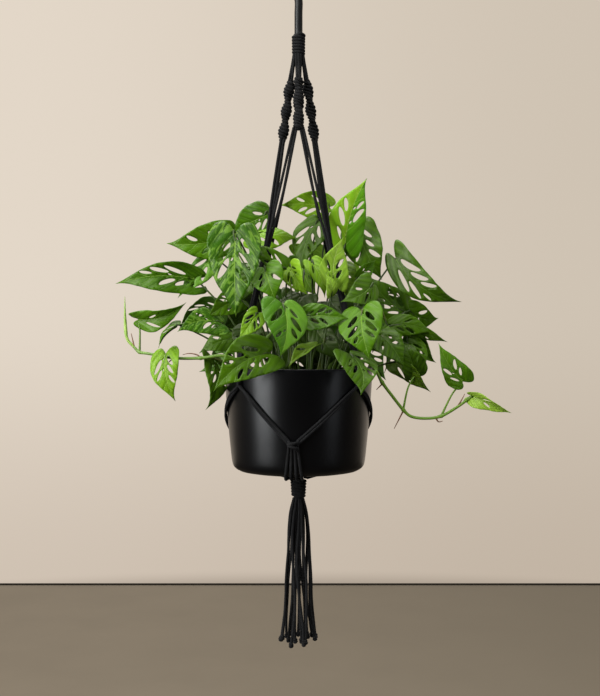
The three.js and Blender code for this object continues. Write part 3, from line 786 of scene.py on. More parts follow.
# %% Rod
steel, t, shader, _ = new_material("dark_satin_steel")
t.feed(shader.inputs["Base Color"], mottled(t, linear(38, 39, 40), 60.0, 0.94, 1.06))
rubbed = use_group(t, "mottle", {"Scale": 60.0, "Low": 0.36, "High": 0.42})
t.feed(shader.inputs["Roughness"], rubbed.outputs[0])
drawn = use_group(t, "grain", {"Scale": 1500.0, "Stretch": (1, 1, 0.08)})
set_relief(t, shader, 0.04, 0.0001, drawn.outputs[0])
shader.inputs["Metallic"].default_value = 0.75
ROD = 5.0                                # radius of the rod
HOOK = 18.5                              # radius of the hook, to the rod's middle
rod_points = [(0, 0, -115), (0, 0, -92), (0, 0, -68), (-0.2, 0, -50), (-7, 0, -36)]
rod_points += [(HOOK * math.cos(math.radians(d)), 0, HOOK * math.sin(math.radians(d)) - HOOK + ROD)
               for d in range(195, -36, -23)]
rod_line = smooth_line(rod_points, 1.2)
ends = np.minimum(np.arange(len(rod_line)), np.arange(len(rod_line))[::-1])
rod_radii = ROD * np.sqrt(np.clip(1 - (1 - np.clip(ends / 3.0, 0, 1)) ** 2, 0.02, 1))
rod = tube("hanging_rod_bar", rod_line, rod_radii, steel, 32)
keep(rod, "rod_steel", "hanging_rod")

# %% [markdown]
# ## Leaf finish
#
# A living blade is waxy above and matt below, paler along its veins, and puckered between them. The
# crests of the puckers are painted paler too, a painted highlight where they would catch the light.
# All of that follows the veins, so one node group, "venation", draws them from the blade's own map: U
# runs from the stalk to the tip and V from edge to edge. It puts out masks for the midrib, the side
# veins and the fine net between, blotches drawn out along the side veins, and which half of the blade
# a point is on, which two tones use to paint one half lighter: painted light, as if that half faced
# the window. Every leaf tone below places the same group with its own colours. Light also comes
# through a thin leaf, so a share of a Translucent shader is mixed in, which is what makes the young
# ones glow.

# %% Venation group
VEINS = 5                                # panels between side veins, on each half of a blade
VEIN_LEAN = 0.42                         # how far a side vein runs towards the tip on its way out
t, given, out = effect_group("venation", [("Width", "Float", 1.0)],
                             [("Midrib", "Float"), ("Side", "Float"), ("Net", "Float"),
                              ("Blotch", "Float"), ("Half", "Float")])
uv = t.node("UVMap", uv_map="blade").outputs[0]
lengthwise, raw_across = t.node("SeparateXYZ", {0: uv}).outputs[:2]
across = t.maths("SUBTRACT", t.maths("MULTIPLY", raw_across, 2.0), 1.0)
distance = t.maths("ABSOLUTE", across)
half = t.band(across, -0.015, 0.015)
lean = t.maths("MULTIPLY", t.maths("POWER", distance, 1.15), VEIN_LEAN)
phase = t.maths("MULTIPLY", t.maths("SUBTRACT", lengthwise, lean), float(VEINS))
phase = t.maths("ADD", phase, t.maths("MULTIPLY", half, 0.35))
saw = t.maths("ABSOLUTE", t.maths("SUBTRACT", t.maths("FRACT", t.maths("ADD", phase, 40.0)), 0.5))
side_mask = t.band(saw, 0.445, 0.495)
fade = t.band(distance, 0.0, 0.95, 1.0, 0.35)
t.feed(out.inputs["Side"], t.maths("MULTIPLY", side_mask, fade))
rib = t.maths("SUBTRACT", distance, t.maths("MULTIPLY", t.maths("SUBTRACT", 1.0, lengthwise), 0.022))
t.feed(out.inputs["Midrib"], t.band(rib, -0.004, 0.016, 1.0, 0.0))
cells = t.node("TexVoronoi", {"Vector": uv, "Scale": 24.0}, feature="DISTANCE_TO_EDGE")
t.feed(out.inputs["Net"], t.band(cells.outputs[0], 0.0, 0.10, 1.0, 0.0))
streak = t.node("CombineXYZ", {0: phase, 1: t.maths("MULTIPLY", distance, 1.4), 2: half})
blotch = t.node("TexNoise", {"Vector": streak.outputs[0], "Scale": 2.4, "Detail": 5.0, "Distortion": 0.7})
t.feed(out.inputs["Blotch"], t.band(blotch.outputs[0], 0.50, 0.60))
t.feed(out.inputs["Half"], half)

# %% Leaf materials, one per tone
def shade(colour, factor):
    """The colour made lighter or darker by a factor."""
    return tuple(min(1.0, c * factor) for c in colour[:3]) + (1.0,)


def let_light_through(t, shader, output, colour):
    """Mixes a share of light from behind into a thin blade's finish."""
    through = t.node("BsdfTranslucent", {"Color": colour})
    both = t.node("MixShader", {0: 0.24, 1: shader.outputs[0], 2: through.outputs[0]})
    t.feed(output.inputs["Surface"], both.outputs[0])


def leaf_finish(name, deep, pale, vein, glow, blotched=0.0, halves=None):
    """The waxy upper side of one tone of leaf. deep and pale are the ends of its slow drift."""
    material, t, shader, output = new_material(name)
    veins = use_group(t, "venation")
    drift = use_group(t, "mottle", {"Scale": 24.0, "Low": 0.0, "High": 1.0})
    tone_and_crest_light = t.node("Attribute", attribute_name="tone_and_crest_light").outputs["Color"]
    own, painted_crest_light, _ = t.node("SeparateColor", {0: tone_and_crest_light}).outputs[:3]
    mix = t.maths("ADD", t.maths("MULTIPLY", drift.outputs[0], 0.45), t.maths("MULTIPLY", own, 0.55))
    base = t.blend(mix, deep, pale)
    # Painted light: one half of the blade painted lighter, as if it faced the window.
    if halves:
        base = t.blend(t.maths("MULTIPLY", veins.outputs["Half"], 0.8), base, halves)
    if blotched:
        base = t.blend(t.maths("MULTIPLY", veins.outputs["Blotch"], blotched), base, linear(132, 176, 62))
    # Painted highlight: the crests between the side veins painted paler, as if catching the light.
    base = t.blend(t.band(painted_crest_light, 0.35, 1.0, 0.0, 0.34), base, shade(pale, 1.3))
    base = t.blend(t.maths("MULTIPLY", veins.outputs["Net"], 0.08), base, vein)
    base = t.blend(t.maths("MULTIPLY", veins.outputs["Side"], 0.42), base, vein)
    base = t.blend(t.maths("MULTIPLY", veins.outputs["Midrib"], 0.75), base, vein)
    t.feed(shader.inputs["Base Color"], base)
    polish = use_group(t, "mottle", {"Scale": 90.0, "Low": 0.27, "High": 0.42})
    t.feed(shader.inputs["Roughness"], polish.outputs[0])
    pores = use_group(t, "grain", {"Scale": 1500.0})
    relief = t.maths("SUBTRACT", t.maths("MULTIPLY", pores.outputs[0], 0.25),
                     t.maths("MULTIPLY", veins.outputs["Net"], 0.15))
    relief = t.maths("SUBTRACT", relief, veins.outputs["Side"])
    relief = t.maths("SUBTRACT", relief, t.maths("MULTIPLY", veins.outputs["Midrib"], 1.2))
    set_relief(t, shader, 0.55, 0.0005, relief)
    shader.inputs["Specular IOR Level"].default_value = 0.3
    shader.inputs["Specular Tint"].default_value = (1.0, 1.0, 0.8, 1)
    shader.inputs["Coat Weight"].default_value = 0.04
    shader.inputs["Coat Roughness"].default_value = 0.3
    let_light_through(t, shader, output, t.blend(0.5, base, glow))
    return material


def underside_finish(name, body, vein):
    """The matt, paler lower side, where the veins stand proud."""
    material, t, shader, output = new_material(name)
    veins = use_group(t, "venation")
    base = mottled(t, body, 40.0, 0.85, 1.12)
    base = t.blend(t.maths("MULTIPLY", veins.outputs["Side"], 0.5), base, vein)
    base = t.blend(t.maths("MULTIPLY", veins.outputs["Midrib"], 0.8), base, vein)
    t.feed(shader.inputs["Base Color"], base)
    set_relief(t, shader, 0.5, 0.0005, t.maths("ADD", veins.outputs["Side"], veins.outputs["Midrib"]))
    shader.inputs["Roughness"].default_value = 0.62
    let_light_through(t, shader, output, t.blend(0.4, base, linear(170, 200, 70)))
    return material


PALE_VEIN = linear(126, 168, 54)
TONES = {
    "dark": leaf_finish("leaf_dark", linear(40, 68, 4), linear(76, 116, 11), linear(92, 132, 36),
                        linear(100, 150, 8)),
    "shade": leaf_finish("leaf_in_shade", linear(20, 38, 2), linear(42, 66, 5), linear(60, 90, 20),
                         linear(60, 92, 4)),
    "mid": leaf_finish("leaf_mid", linear(44, 86, 3), linear(82, 128, 12), PALE_VEIN,
                       linear(130, 175, 12)),
    # One half painted lighter: painted light.
    "two": leaf_finish("leaf_half_painted_lighter", linear(44, 92, 8), linear(68, 118, 14), PALE_VEIN,
                       linear(120, 175, 12), halves=linear(104, 154, 46)),
    "mottled": leaf_finish("leaf_mottled", linear(30, 68, 3), linear(58, 108, 8), PALE_VEIN,
                           linear(130, 175, 16), blotched=0.6),
    "lime": leaf_finish("leaf_lime", linear(90, 138, 14), linear(130, 173, 32), linear(164, 198, 76),
                        linear(170, 205, 10)),
    "light": leaf_finish("leaf_light", linear(108, 154, 32), linear(152, 188, 64), linear(184, 208, 112),
                         linear(180, 205, 30)),
    "olive": leaf_finish("leaf_olive", linear(62, 94, 10), linear(96, 128, 24), linear(136, 162, 62),
                         linear(140, 165, 16)),
    # One half painted lighter: painted light.
    "twolime": leaf_finish("leaf_lime_half_painted_lighter", linear(60, 120, 10), linear(88, 148, 20),
                           linear(158, 194, 70), linear(160, 200, 16), halves=linear(136, 182, 34)),
}
UNDERSIDE = {
    "shade": underside_finish("underside_in_shade", linear(34, 56, 8), linear(64, 88, 30)),
    "dark": underside_finish("underside_green", linear(64, 104, 22), linear(120, 156, 64)),
    "lime": underside_finish("underside_pale", linear(122, 162, 46), linear(172, 200, 96)),
}
LOWER_SIDE = {"lime": "lime", "light": "lime", "twolime": "lime", "olive": "lime", "shade": "shade"}
print("leaf tones:", list(TONES))

# %% [markdown]
# ## Blade outline and holes
#
# The blade of this species is a pointed heart, and its holes are narrow ovals that lie between the
# side veins, the longest near the middle. So the outline is one smooth curve through a few widths,
# and each hole is an oval drawn along a panel between two veins. A constrained triangulation then
# fills the outline, leaves the holes open, and takes in a field of inner points, so that the sheet
# can be bent finely afterwards.

# %% Outline and holes in the flat
HALF_OUTLINE = [(0.0, 0.0), (-0.055, 0.10), (-0.12, 0.27), (-0.145, 0.50), (-0.10, 0.76), (0.03, 0.95),
                (0.19, 1.0), (0.37, 0.94), (0.54, 0.77), (0.69, 0.51), (0.80, 0.28), (0.885, 0.125),
                (0.95, 0.04), (1.0, 0.0)]


def half_outline(step, slim):
    """One half of the edge as (along, across) points, across 0 to 1."""
    points = [(u, v * (1 - slim * max(0.0, u)), 0) for u, v in HALF_OUTLINE]
    return smooth_line(points, step)[:, :2]


def inside(points, polygon):
    """Which points lie inside a polygon, by counting crossings."""
    x, y = points[:, 0], points[:, 1]
    result = np.zeros(len(points), bool)
    for (x0, y0), (x1, y1) in zip(polygon, np.roll(polygon, -1, axis=0)):
        crosses = (y0 > y) != (y1 > y)
        if y0 != y1:
            result ^= crosses & (x < (x1 - x0) * (y - y0) / (y1 - y0) + x0)
    return result


def hole(panel, side, near, far, half_width, shift):
    """An oval along the panel between two side veins, from near to far out from the midrib."""
    middle, reach = (near + far) / 2, (far - near) / 2
    points = []
    for a in np.linspace(0, 2 * math.pi, 18, endpoint=False):
        out = middle + reach * math.cos(a)
        wide = half_width * math.sin(a) * (1 - 0.22 * math.cos(a))
        along = (panel + shift) / VEINS + VEIN_LEAN * out ** 1.15 + wide
        points.append((along, side * out))
    return np.array(points)


def blade_sheet(width_share, holes, seed, pitch):
    """Flat points (along, across) and triangles for a blade with at most the given number of holes."""
    draw = random.Random(seed)
    slim = draw.uniform(-0.04, 0.10)
    right = half_outline(0.05, slim)
    left = half_outline(0.05, draw.uniform(-0.04, 0.10))
    outline = np.vstack([right[:-1], (left * (1, -1))[:0:-1]])
    scallop = 1 + 0.012 * np.sin(np.arange(len(outline)) * 0.9 + seed)
    outline[:, 1] *= scallop
    order = [(1, 1), (1, -1), (0, -1), (0, 1), (2, 1), (2, -1), (-1, 1), (3, -1), (-1, -1)]
    rim = right[right[:, 0].argmin():]
    cuts = []
    for index in range(min(holes, len(order))):
        panel, side = order[index]
        if draw.random() < 0.10:
            continue
        middle = (0.5 if side < 0 else 0.15) + draw.uniform(-0.05, 0.05)
        near = draw.uniform(0.12, 0.24)
        far = near + draw.uniform(0.30, 0.58)
        fat = draw.uniform(0.05, 0.088)

        def spare(reach):
            along = (panel + middle) / VEINS + VEIN_LEAN * reach ** 1.15
            return 0.84 * float(np.interp(along, rim[:, 0], rim[:, 1])) - reach

        while far > near and spare(far) < 0:
            far -= 0.02
        if far - near > 0.12:
            cuts.append(hole(panel, side, near, far, min(fat, 0.19 * (far - near)), middle))
        if near > 0.18 and draw.random() < 0.5:
            cuts.append(hole(panel, side, 0.055, near - 0.055, 0.016, middle + draw.uniform(-0.1, 0.1)))
    grid = []
    row = 0
    for u in np.arange(-0.16, 1.0, pitch * 0.87):
        row += 1
        for v in np.arange(-1.05, 1.05, pitch / width_share):
            grid.append((u, v + (row % 2) * pitch / width_share / 2))
    grid = np.array(grid)
    keep_mask = inside(grid, outline)
    scale = np.array([1.0, width_share])
    walls = [outline] + cuts
    for wall_points in walls:
        gap = np.linalg.norm((grid[:, None, :] - wall_points[None, :, :]) * scale, axis=2).min(axis=1)
        keep_mask &= gap > pitch * 0.55
    for cut in cuts:
        keep_mask &= ~inside(grid, cut)
    verts, borders, start = [], [], 0
    for loop in walls:
        verts += [tuple(p * scale) for p in loop]
        borders += [(start + i, start + (i + 1) % len(loop)) for i in range(len(loop))]
        start += len(loop)
    verts += [tuple(p * scale) for p in grid[keep_mask]]
    result = delaunay_2d_cdt([Vector(v) for v in verts], borders, [], 0, 1e-5)
    flat = np.array([tuple(v) for v in result[0]]) / scale
    triangles = np.array([f for f in result[2] if len(f) == 3])
    centres = flat[triangles].mean(axis=1)
    solid = inside(centres, outline)
    for cut in cuts:
        solid &= ~inside(centres, cut)
    triangles = triangles[solid]
    a, b, c = (flat[triangles[:, k]] * scale for k in range(3))
    turn = (b[:, 0] - a[:, 0]) * (c[:, 1] - a[:, 1]) - (b[:, 1] - a[:, 1]) * (c[:, 0] - a[:, 0])
    triangles[turn < 0] = triangles[turn < 0][:, ::-1]
    return flat, triangles[np.abs(turn) > 1e-9]

# %% [markdown]
# ## Bending the sheet into a living blade
#
# A flat cut-out looks like paper. A real blade arches along its midrib, lets its sides and its tip
# hang, folds a little, waves at the edge, and swells between its side veins. The bend is written as
# one height over the flat sheet, and then the sheet is stood in place: along from stalk to tip,
# facing turned about that line.

# %% Blade in place
BLADE_THICKNESS = 0.45
SHEET_PITCH = 0.034                      # between a sheet's inner points, as a share of its length


class Blade:
    """One blade: where it is, how it bends, and where any point of its flat sheet ends up."""

    def __init__(self, spec, seed):
        base, tip, self.width, roll, self.arch, self.cup, self.tone, self.holes, fold = spec
        draw = random.Random(seed + 100)
        self.seed = seed
        self.base = np.array(base, float)
        along = np.array(tip, float) - self.base
        self.length = np.linalg.norm(along)
        self.along = along / self.length
        facing = np.array([0, -1.0, 0]) + self.along * self.along[1]
        facing /= np.linalg.norm(facing)
        a = math.radians(roll + draw.uniform(-22, 22))
        self.facing = facing * math.cos(a) + np.cross(self.along, facing) * math.sin(a)
        self.side = np.cross(self.facing, self.along)
        self.wave = draw.uniform(0, 6)
        self.curl = draw.uniform(0.05, 0.55)
        self.bend = draw.uniform(-0.13, 0.13)
        self.twist = draw.uniform(-0.8, 0.8)
        self.ripple = draw.uniform(0.018, 0.055)
        self.skew = draw.uniform(-0.09, 0.09)
        self.fold = fold or draw.uniform(0.02, 0.30)
        self.own = draw.random()

    def phase(self, u, v):
        """Which panel between side veins a point lies in: the veins are at whole numbers."""
        return VEINS * (u - VEIN_LEAN * np.abs(v) ** 1.15) + 0.35 * (v > 0)

    def place(self, u, v):
        half = self.width / 2
        rise = 4 * self.arch * self.length * u * (1 - u)
        droop = self.curl * self.length * np.clip(u - 0.55, 0, 1) ** 2
        taper = np.clip(np.abs(v) * 6, 0, 1) * np.clip((1 - u) * 3, 0, 1)
        swell = 0.013 * self.length * np.abs(np.sin(math.pi * self.phase(u, v))) ** 0.8 * taper
        edge = self.ripple * self.length * np.sin(9 * u + self.wave + 1.7 * np.sign(v)) * v * v
        across = half * (self.fold * np.abs(v) - 1.6 * self.cup * v * v + self.twist * v * (u - 0.3))
        height = rise - droop + swell + edge + across
        sideways = v * half * (1 + self.skew * np.sign(v)) * math.cos(math.atan(abs(self.fold)))
        sideways = sideways + 4 * self.bend * self.length * u * (1 - u)
        return (self.base + np.outer(u * self.length, self.along) + np.outer(sideways, self.side)
                + np.outer(height, self.facing))


def make_blade(name, blade, node):
    """The sheet of one leaf, given thickness, with a paler underside."""
    flat, triangles = blade_sheet(blade.width / blade.length / 2, blade.holes, blade.seed, SHEET_PITCH)
    u, v = flat[:, 0], flat[:, 1]
    made = new_object(name, blade.place(u, v), triangles, TONES[blade.tone])
    made.data.materials.append(UNDERSIDE[LOWER_SIDE.get(blade.tone, "dark")])
    map_corners(made, "blade", u, (v + 1) / 2)
    tone_and_crest_light = made.data.color_attributes.new("tone_and_crest_light", "FLOAT_COLOR", "POINT")
    # The second channel marks the crests between side veins, where a painted highlight goes; the first is the
    # leaf's own random tone.
    painted_crest_light = np.abs(np.sin(math.pi * blade.phase(u, v))) ** 1.5 * np.clip(np.abs(v) * 5, 0, 1)
    own = np.full(len(u), blade.own)
    tone_and_crest_light.data.foreach_set("color", np.column_stack([own, painted_crest_light, own, np.ones(len(u))])
                          .astype(np.float32).ravel())
    thick = made.modifiers.new("thickness", "SOLIDIFY")
    thick.thickness = BLADE_THICKNESS * MM
    thick.offset = -1
    thick.material_offset = 1
    keep(made, "foliage", node)

# %% [markdown]
# ## Stalks and stems
#
# A leaf stalk is a smooth green rod, a little thicker at its foot and again just under the blade,
# where the joint turns the leaf to the light, and it goes on as the midrib under the blade. Stems
# are thicker, with a ring scar at every old leaf, and from the scars brown aerial roots grow.

# %% Stalk finishes
def stem_finish(name, green, brown, brown_share):
    """Smooth skin of one green, with slow patches of a browner one."""
    material, t, shader, _ = new_material(name)
    patches = use_group(t, "mottle", {"Scale": 60.0, "Low": 0.0, "High": 1.0})
    base = t.blend(t.band(patches.outputs[0], 1 - brown_share, 1.05), green, brown)
    t.feed(shader.inputs["Base Color"], mottled(t, base, 60.0, 0.86, 1.14))
    set_relief(t, shader, 0.06, 0.0002, use_group(t, "grain", {"Scale": 900.0}).outputs[0])
    shader.inputs["Roughness"].default_value = 0.45
    return material


# Leaf stalks are painted darker than their own green: painted shade, as most stand inside the crown.
stalk_green_in_painted_shade = stem_finish("stalk_green_in_painted_shade", linear(42, 64, 6), linear(64, 74, 16), 0.5)
green_stem = stem_finish("green_stem", linear(92, 128, 34), linear(108, 116, 48), 0.35)
young_leaf = stem_finish("rolled_young_leaf", linear(128, 164, 66), linear(158, 180, 96), 0.5)
root_bark = stem_finish("aerial_root", linear(112, 70, 42), linear(74, 48, 32), 0.6)


def make_stalk(name, start, blade, node, rooted):
    """The stalk from soil or stem up to the blade, and on as the midrib beneath it."""
    draw = random.Random(blade.seed + 300)
    start = np.array(start, float)
    rise = max(0.0, blade.base[2] - start[2])
    middle = start + (blade.base - start) * (0.45, 0.45, 0)
    sway = 0.05 * rise
    middle += (draw.uniform(-sway, sway), draw.uniform(-sway, sway), 0.62 * rise)
    points = [start + (0, 0, -6)] if rooted else []
    points += [start, middle, blade.base - blade.facing * 0.5]
    for u in (0.12, 0.3, 0.5, 0.7, 0.86):
        points.append(blade.place(np.array([u]), np.array([0.0]))[0] - blade.facing * 0.62)
    line = smooth_line(points, 2.0)
    run = run_along(line)
    joint = run[np.argmin(np.linalg.norm(line - blade.base, axis=1))]
    places = [0, 8, max(9, joint * 0.6), max(10, joint - 6), max(11, joint), joint + blade.length * 0.3,
              run[-1] + 12]
    radii = np.interp(run, places, [1.5, 1.3, 1.05, 1.1, 1.3, 0.62, 0.16])
    finish = green_stem if node.endswith("vine") else stalk_green_in_painted_shade
    keep(tube(name, line, radii, finish, 10), "foliage", node)


def make_stem(name, points, radius, node, scars):
    """A stem through the points, with ring scars at some of them."""
    line = smooth_line(points, 1.6)
    run = run_along(line)
    radii = np.interp(run, [0, run[-1] * 0.8, run[-1]], [radius, radius * 0.9, radius * 0.8])
    for index in scars:
        away = np.linalg.norm(line - np.array(points[index], float), axis=1)
        radii = radii + 0.55 * np.exp(-(away / 1.5) ** 2) + 0.25 * np.exp(-(away / 5) ** 2)
    keep(tube(name, line, radii, green_stem, 12), "foliage", node)


def make_root(name, points, node):
    """A short aerial root that thins towards its tip."""
    line = smooth_line(points, 1.2)
    keep(tube(name, line, np.linspace(1.1, 0.33, len(line)), root_bark, 8), "foliage", node)

# %% [markdown]
# ## Where the leaves are
#
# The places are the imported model's: where each blade starts, its tip, its greatest width, how far
# it is turned about its own length, its arch and cup, where its stalk starts, its tone and how many
# holes it may have. Stalks that grow from the soil start at its level, so they give only two numbers.
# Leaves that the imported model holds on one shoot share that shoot's node.

# %% Leaves on their own stalks
# How far the halves of a blade are folded up, or down, where it isn't left to chance.
FOLDS = {"lime_folded": 0.55, "left_curl": 0.6, "folded_olive": 0.7, "vine_end": 0.75, "small_folded": 0.6,
         "left_narrow": 0.45, "dark_arched": -0.3, "top_arched": -0.25, "narrow_low": 0.4}


def grow_leaf(row, number, node, rooted):
    """One leaf of a table: its blade, and its stalk from the soil or from a stem."""
    name, base, tip, width, roll, arch, cup, start, tone, holes = row
    blade = Blade((base, tip, width, roll, arch, cup, tone, holes, FOLDS.get(name, 0.0)), 7 * number)
    make_blade(f"blade_{name}", blade, node)
    make_stalk(f"stalk_{name}", (*start, SOIL_TOP) if rooted else start, blade, node, rooted)


SOLO_LEAVES = [
    ("upper_left", (-88, 10, -343), (-162, -4, -352), 48, 0, 0.08, 0.1, (-25, 20), "mid", 9),
    ("left_long", (-127, -5, -395), (-223, -18, -402), 40, 8, 0.06, -0.08, (-42, 2), "mid", 7),
    ("rim_left", (-104, -25, -492), (-109, -38, -554), 36, -22, 0.1, 0.12, (-50, -22), "dark", 4),
    ("left_mottled", (-92, -48, -450), (-141, -66, -460), 36, 0, 0.1, 0.1, (-40, -32), "mottled", 4),
    ("left_narrow", (-143, -28, -452), (-168, -45, -478), 23, 58, 0.08, 0.1, (-52, -6), "mid", 3),
    ("back_upper_left", (-39, 35, -311), (-87, 25, -338), 44, 0, 0.12, 0.1, (-14, 34), "mid", 5),
    ("top_arched", (-60, 12, -341), (-1, 20, -342), 37, -18, 0.2, 0.12, (-18, 14), "lime", 4),
    ("top_centre", (39, 45, -300), (-24, 35, -299), 38, 0, 0.08, -0.06, (12, 40), "lime", 7),
    ("big_mottled", (-74, -60, -345), (-73, -76, -444), 63, 0, 0.07, 0.08, (-30, -24), "mottled", 5),
    ("dark_arched", (-14, -52, -390), (-66, -42, -355), 26, -25, 0.12, 0.1, (-8, -16), "dark", 3),
    ("lime_folded", (-10, -52, -384), (10, -62, -419), 36, 12, 0.12, 0.22, (2, -28), "lime", 4),
    ("lime_right", (16, -33, -377), (32, -42, -419), 26, 0, 0.08, 0.1, (14, -26), "lime", 3),
    ("upper_heart", (-39, -66, -387), (-27, -80, -425), 41, 0, 0.1, 0.1, (-16, -36), "mid", 3),
    ("front_heart", (-17, -98, -431), (-20, -116, -490), 55, 0, 0.1, 0.14, (-10, -60), "two", 6),
    ("small_lime", (-47, -80, -440), (-68, -94, -471), 25, 0, 0.08, 0.1, (-24, -50), "lime", 4),
    ("rim_front_left", (-34, -92, -486), (-94, -118, -529), 54, 0, 0.1, 0.1, (-18, -72), "dark", 6),
    ("centre_right", (9, -80, -444), (58, -94, -447), 33, 0, 0.08, 0.1, (10, -52), "mid", 5),
    ("folded_olive", (20, -85, -478), (-12, -98, -500), 23, 50, 0.1, 0.15, (16, -66), "olive", 2),
    ("top_right", (57, -10, -354), (84, -22, -274), 49, 0, 0.05, 0.12, (28, 4), "twolime", 6),
    ("behind_right_cord", (24, 22, -322), (3, 10, -387), 45, 10, 0.1, 0.1, (14, 20), "dark", 5),
    ("light_right", (42, -58, -404), (52, -70, -352), 35, 0, 0.08, 0.1, (24, -40), "light", 4),
    ("round_dark", (74, 10, -331), (104, 2, -395), 52, 0, 0.1, 0.1, (32, 18), "dark", 5),
    ("far_right", (120, 0, -370), (199, -14, -424), 42, 12, 0.12, 0.1, (44, 8), "dark", 6),
    ("low_olive", (119, 0, -497), (161, -10, -535), 29, 20, 0.1, 0.1, (58, -8), "olive", 3),
    ("front_right_heart", (72, -90, -437), (80, -112, -493), 54, 0, 0.1, 0.12, (34, -48), "mid", 6),
    ("bluish", (86, -64, -406), (49, -86, -426), 35, 0, 0.08, 0.1, (38, -28), "dark", 4),
    ("small_light", (39, -62, -417), (32, -68, -394), 16, 0, 0.06, 0.1, (20, -44), "light", 1),
    ("small_folded", (72, -28, -394), (94, -20, -374), 22, 45, 0.08, 0.15, (30, -10), "mid", 2),
    ("rim_front_right", (59, -92, -487), (70, -114, -533), 45, 0, 0.1, 0.1, (40, -64), "dark", 5),
]
for number, row in enumerate(SOLO_LEAVES, 1):
    grow_leaf(row, number, f"leaf_{row[0]}", rooted=True)
print("leaves on their own stalks:", len(SOLO_LEAVES))

# %% Shoots and vines
# Each stem: its radius, which of its points have ring scars, and its points from the soil up.
STEMS = {
    "left_vine": (2.0, (4, 5, 7), [
        (-44, -30, -524), (-58, -34, -503), (-75, -38, -494), (-92, -40, -489), (-117, -36, -492),
        (-149, -30, -492), (-180, -24, -487), (-193, -18, -485), (-200, -16, -479)]),
    "right_vine": (2.0, (5, 7, 10, 12), [
        (46, -22, -524), (58, -30, -503), (70, -36, -496), (84, -40, -497), (92, -42, -506),
        (100, -38, -521), (113, -30, -538), (127, -22, -555), (137, -22, -563), (154, -25, -565),
        (172, -28, -562), (191, -30, -551), (209, -30, -538)]),
    "right_shoot": (1.9, (2, 3, 4), [
        (50, 6, -524), (72, 2, -486), (92, -8, -466), (111, 2, -455), (129, 10, -439), (134, 14, -435)]),
    "centre_shoot": (1.9, (2, 3), [
        (-30, -40, -524), (-44, -46, -494), (-38, -44, -468), (-1, -30, -444), (28, -30, -449)]),
    "back_left_shoot": (2.0, (1, 2), [
        (-30, 34, -524), (-52, 52, -470), (-60, 62, -430), (-54, 58, -380)]),
    "back_middle_shoot": (2.0, (1, 2, 3), [
        (-4, 38, -524), (-6, 60, -468), (2, 70, -424), (6, 64, -370), (4, 54, -346)]),
    "back_right_shoot": (2.0, (1, 2), [
        (30, 34, -524), (54, 56, -472), (64, 64, -430), (58, 56, -384)]),
}
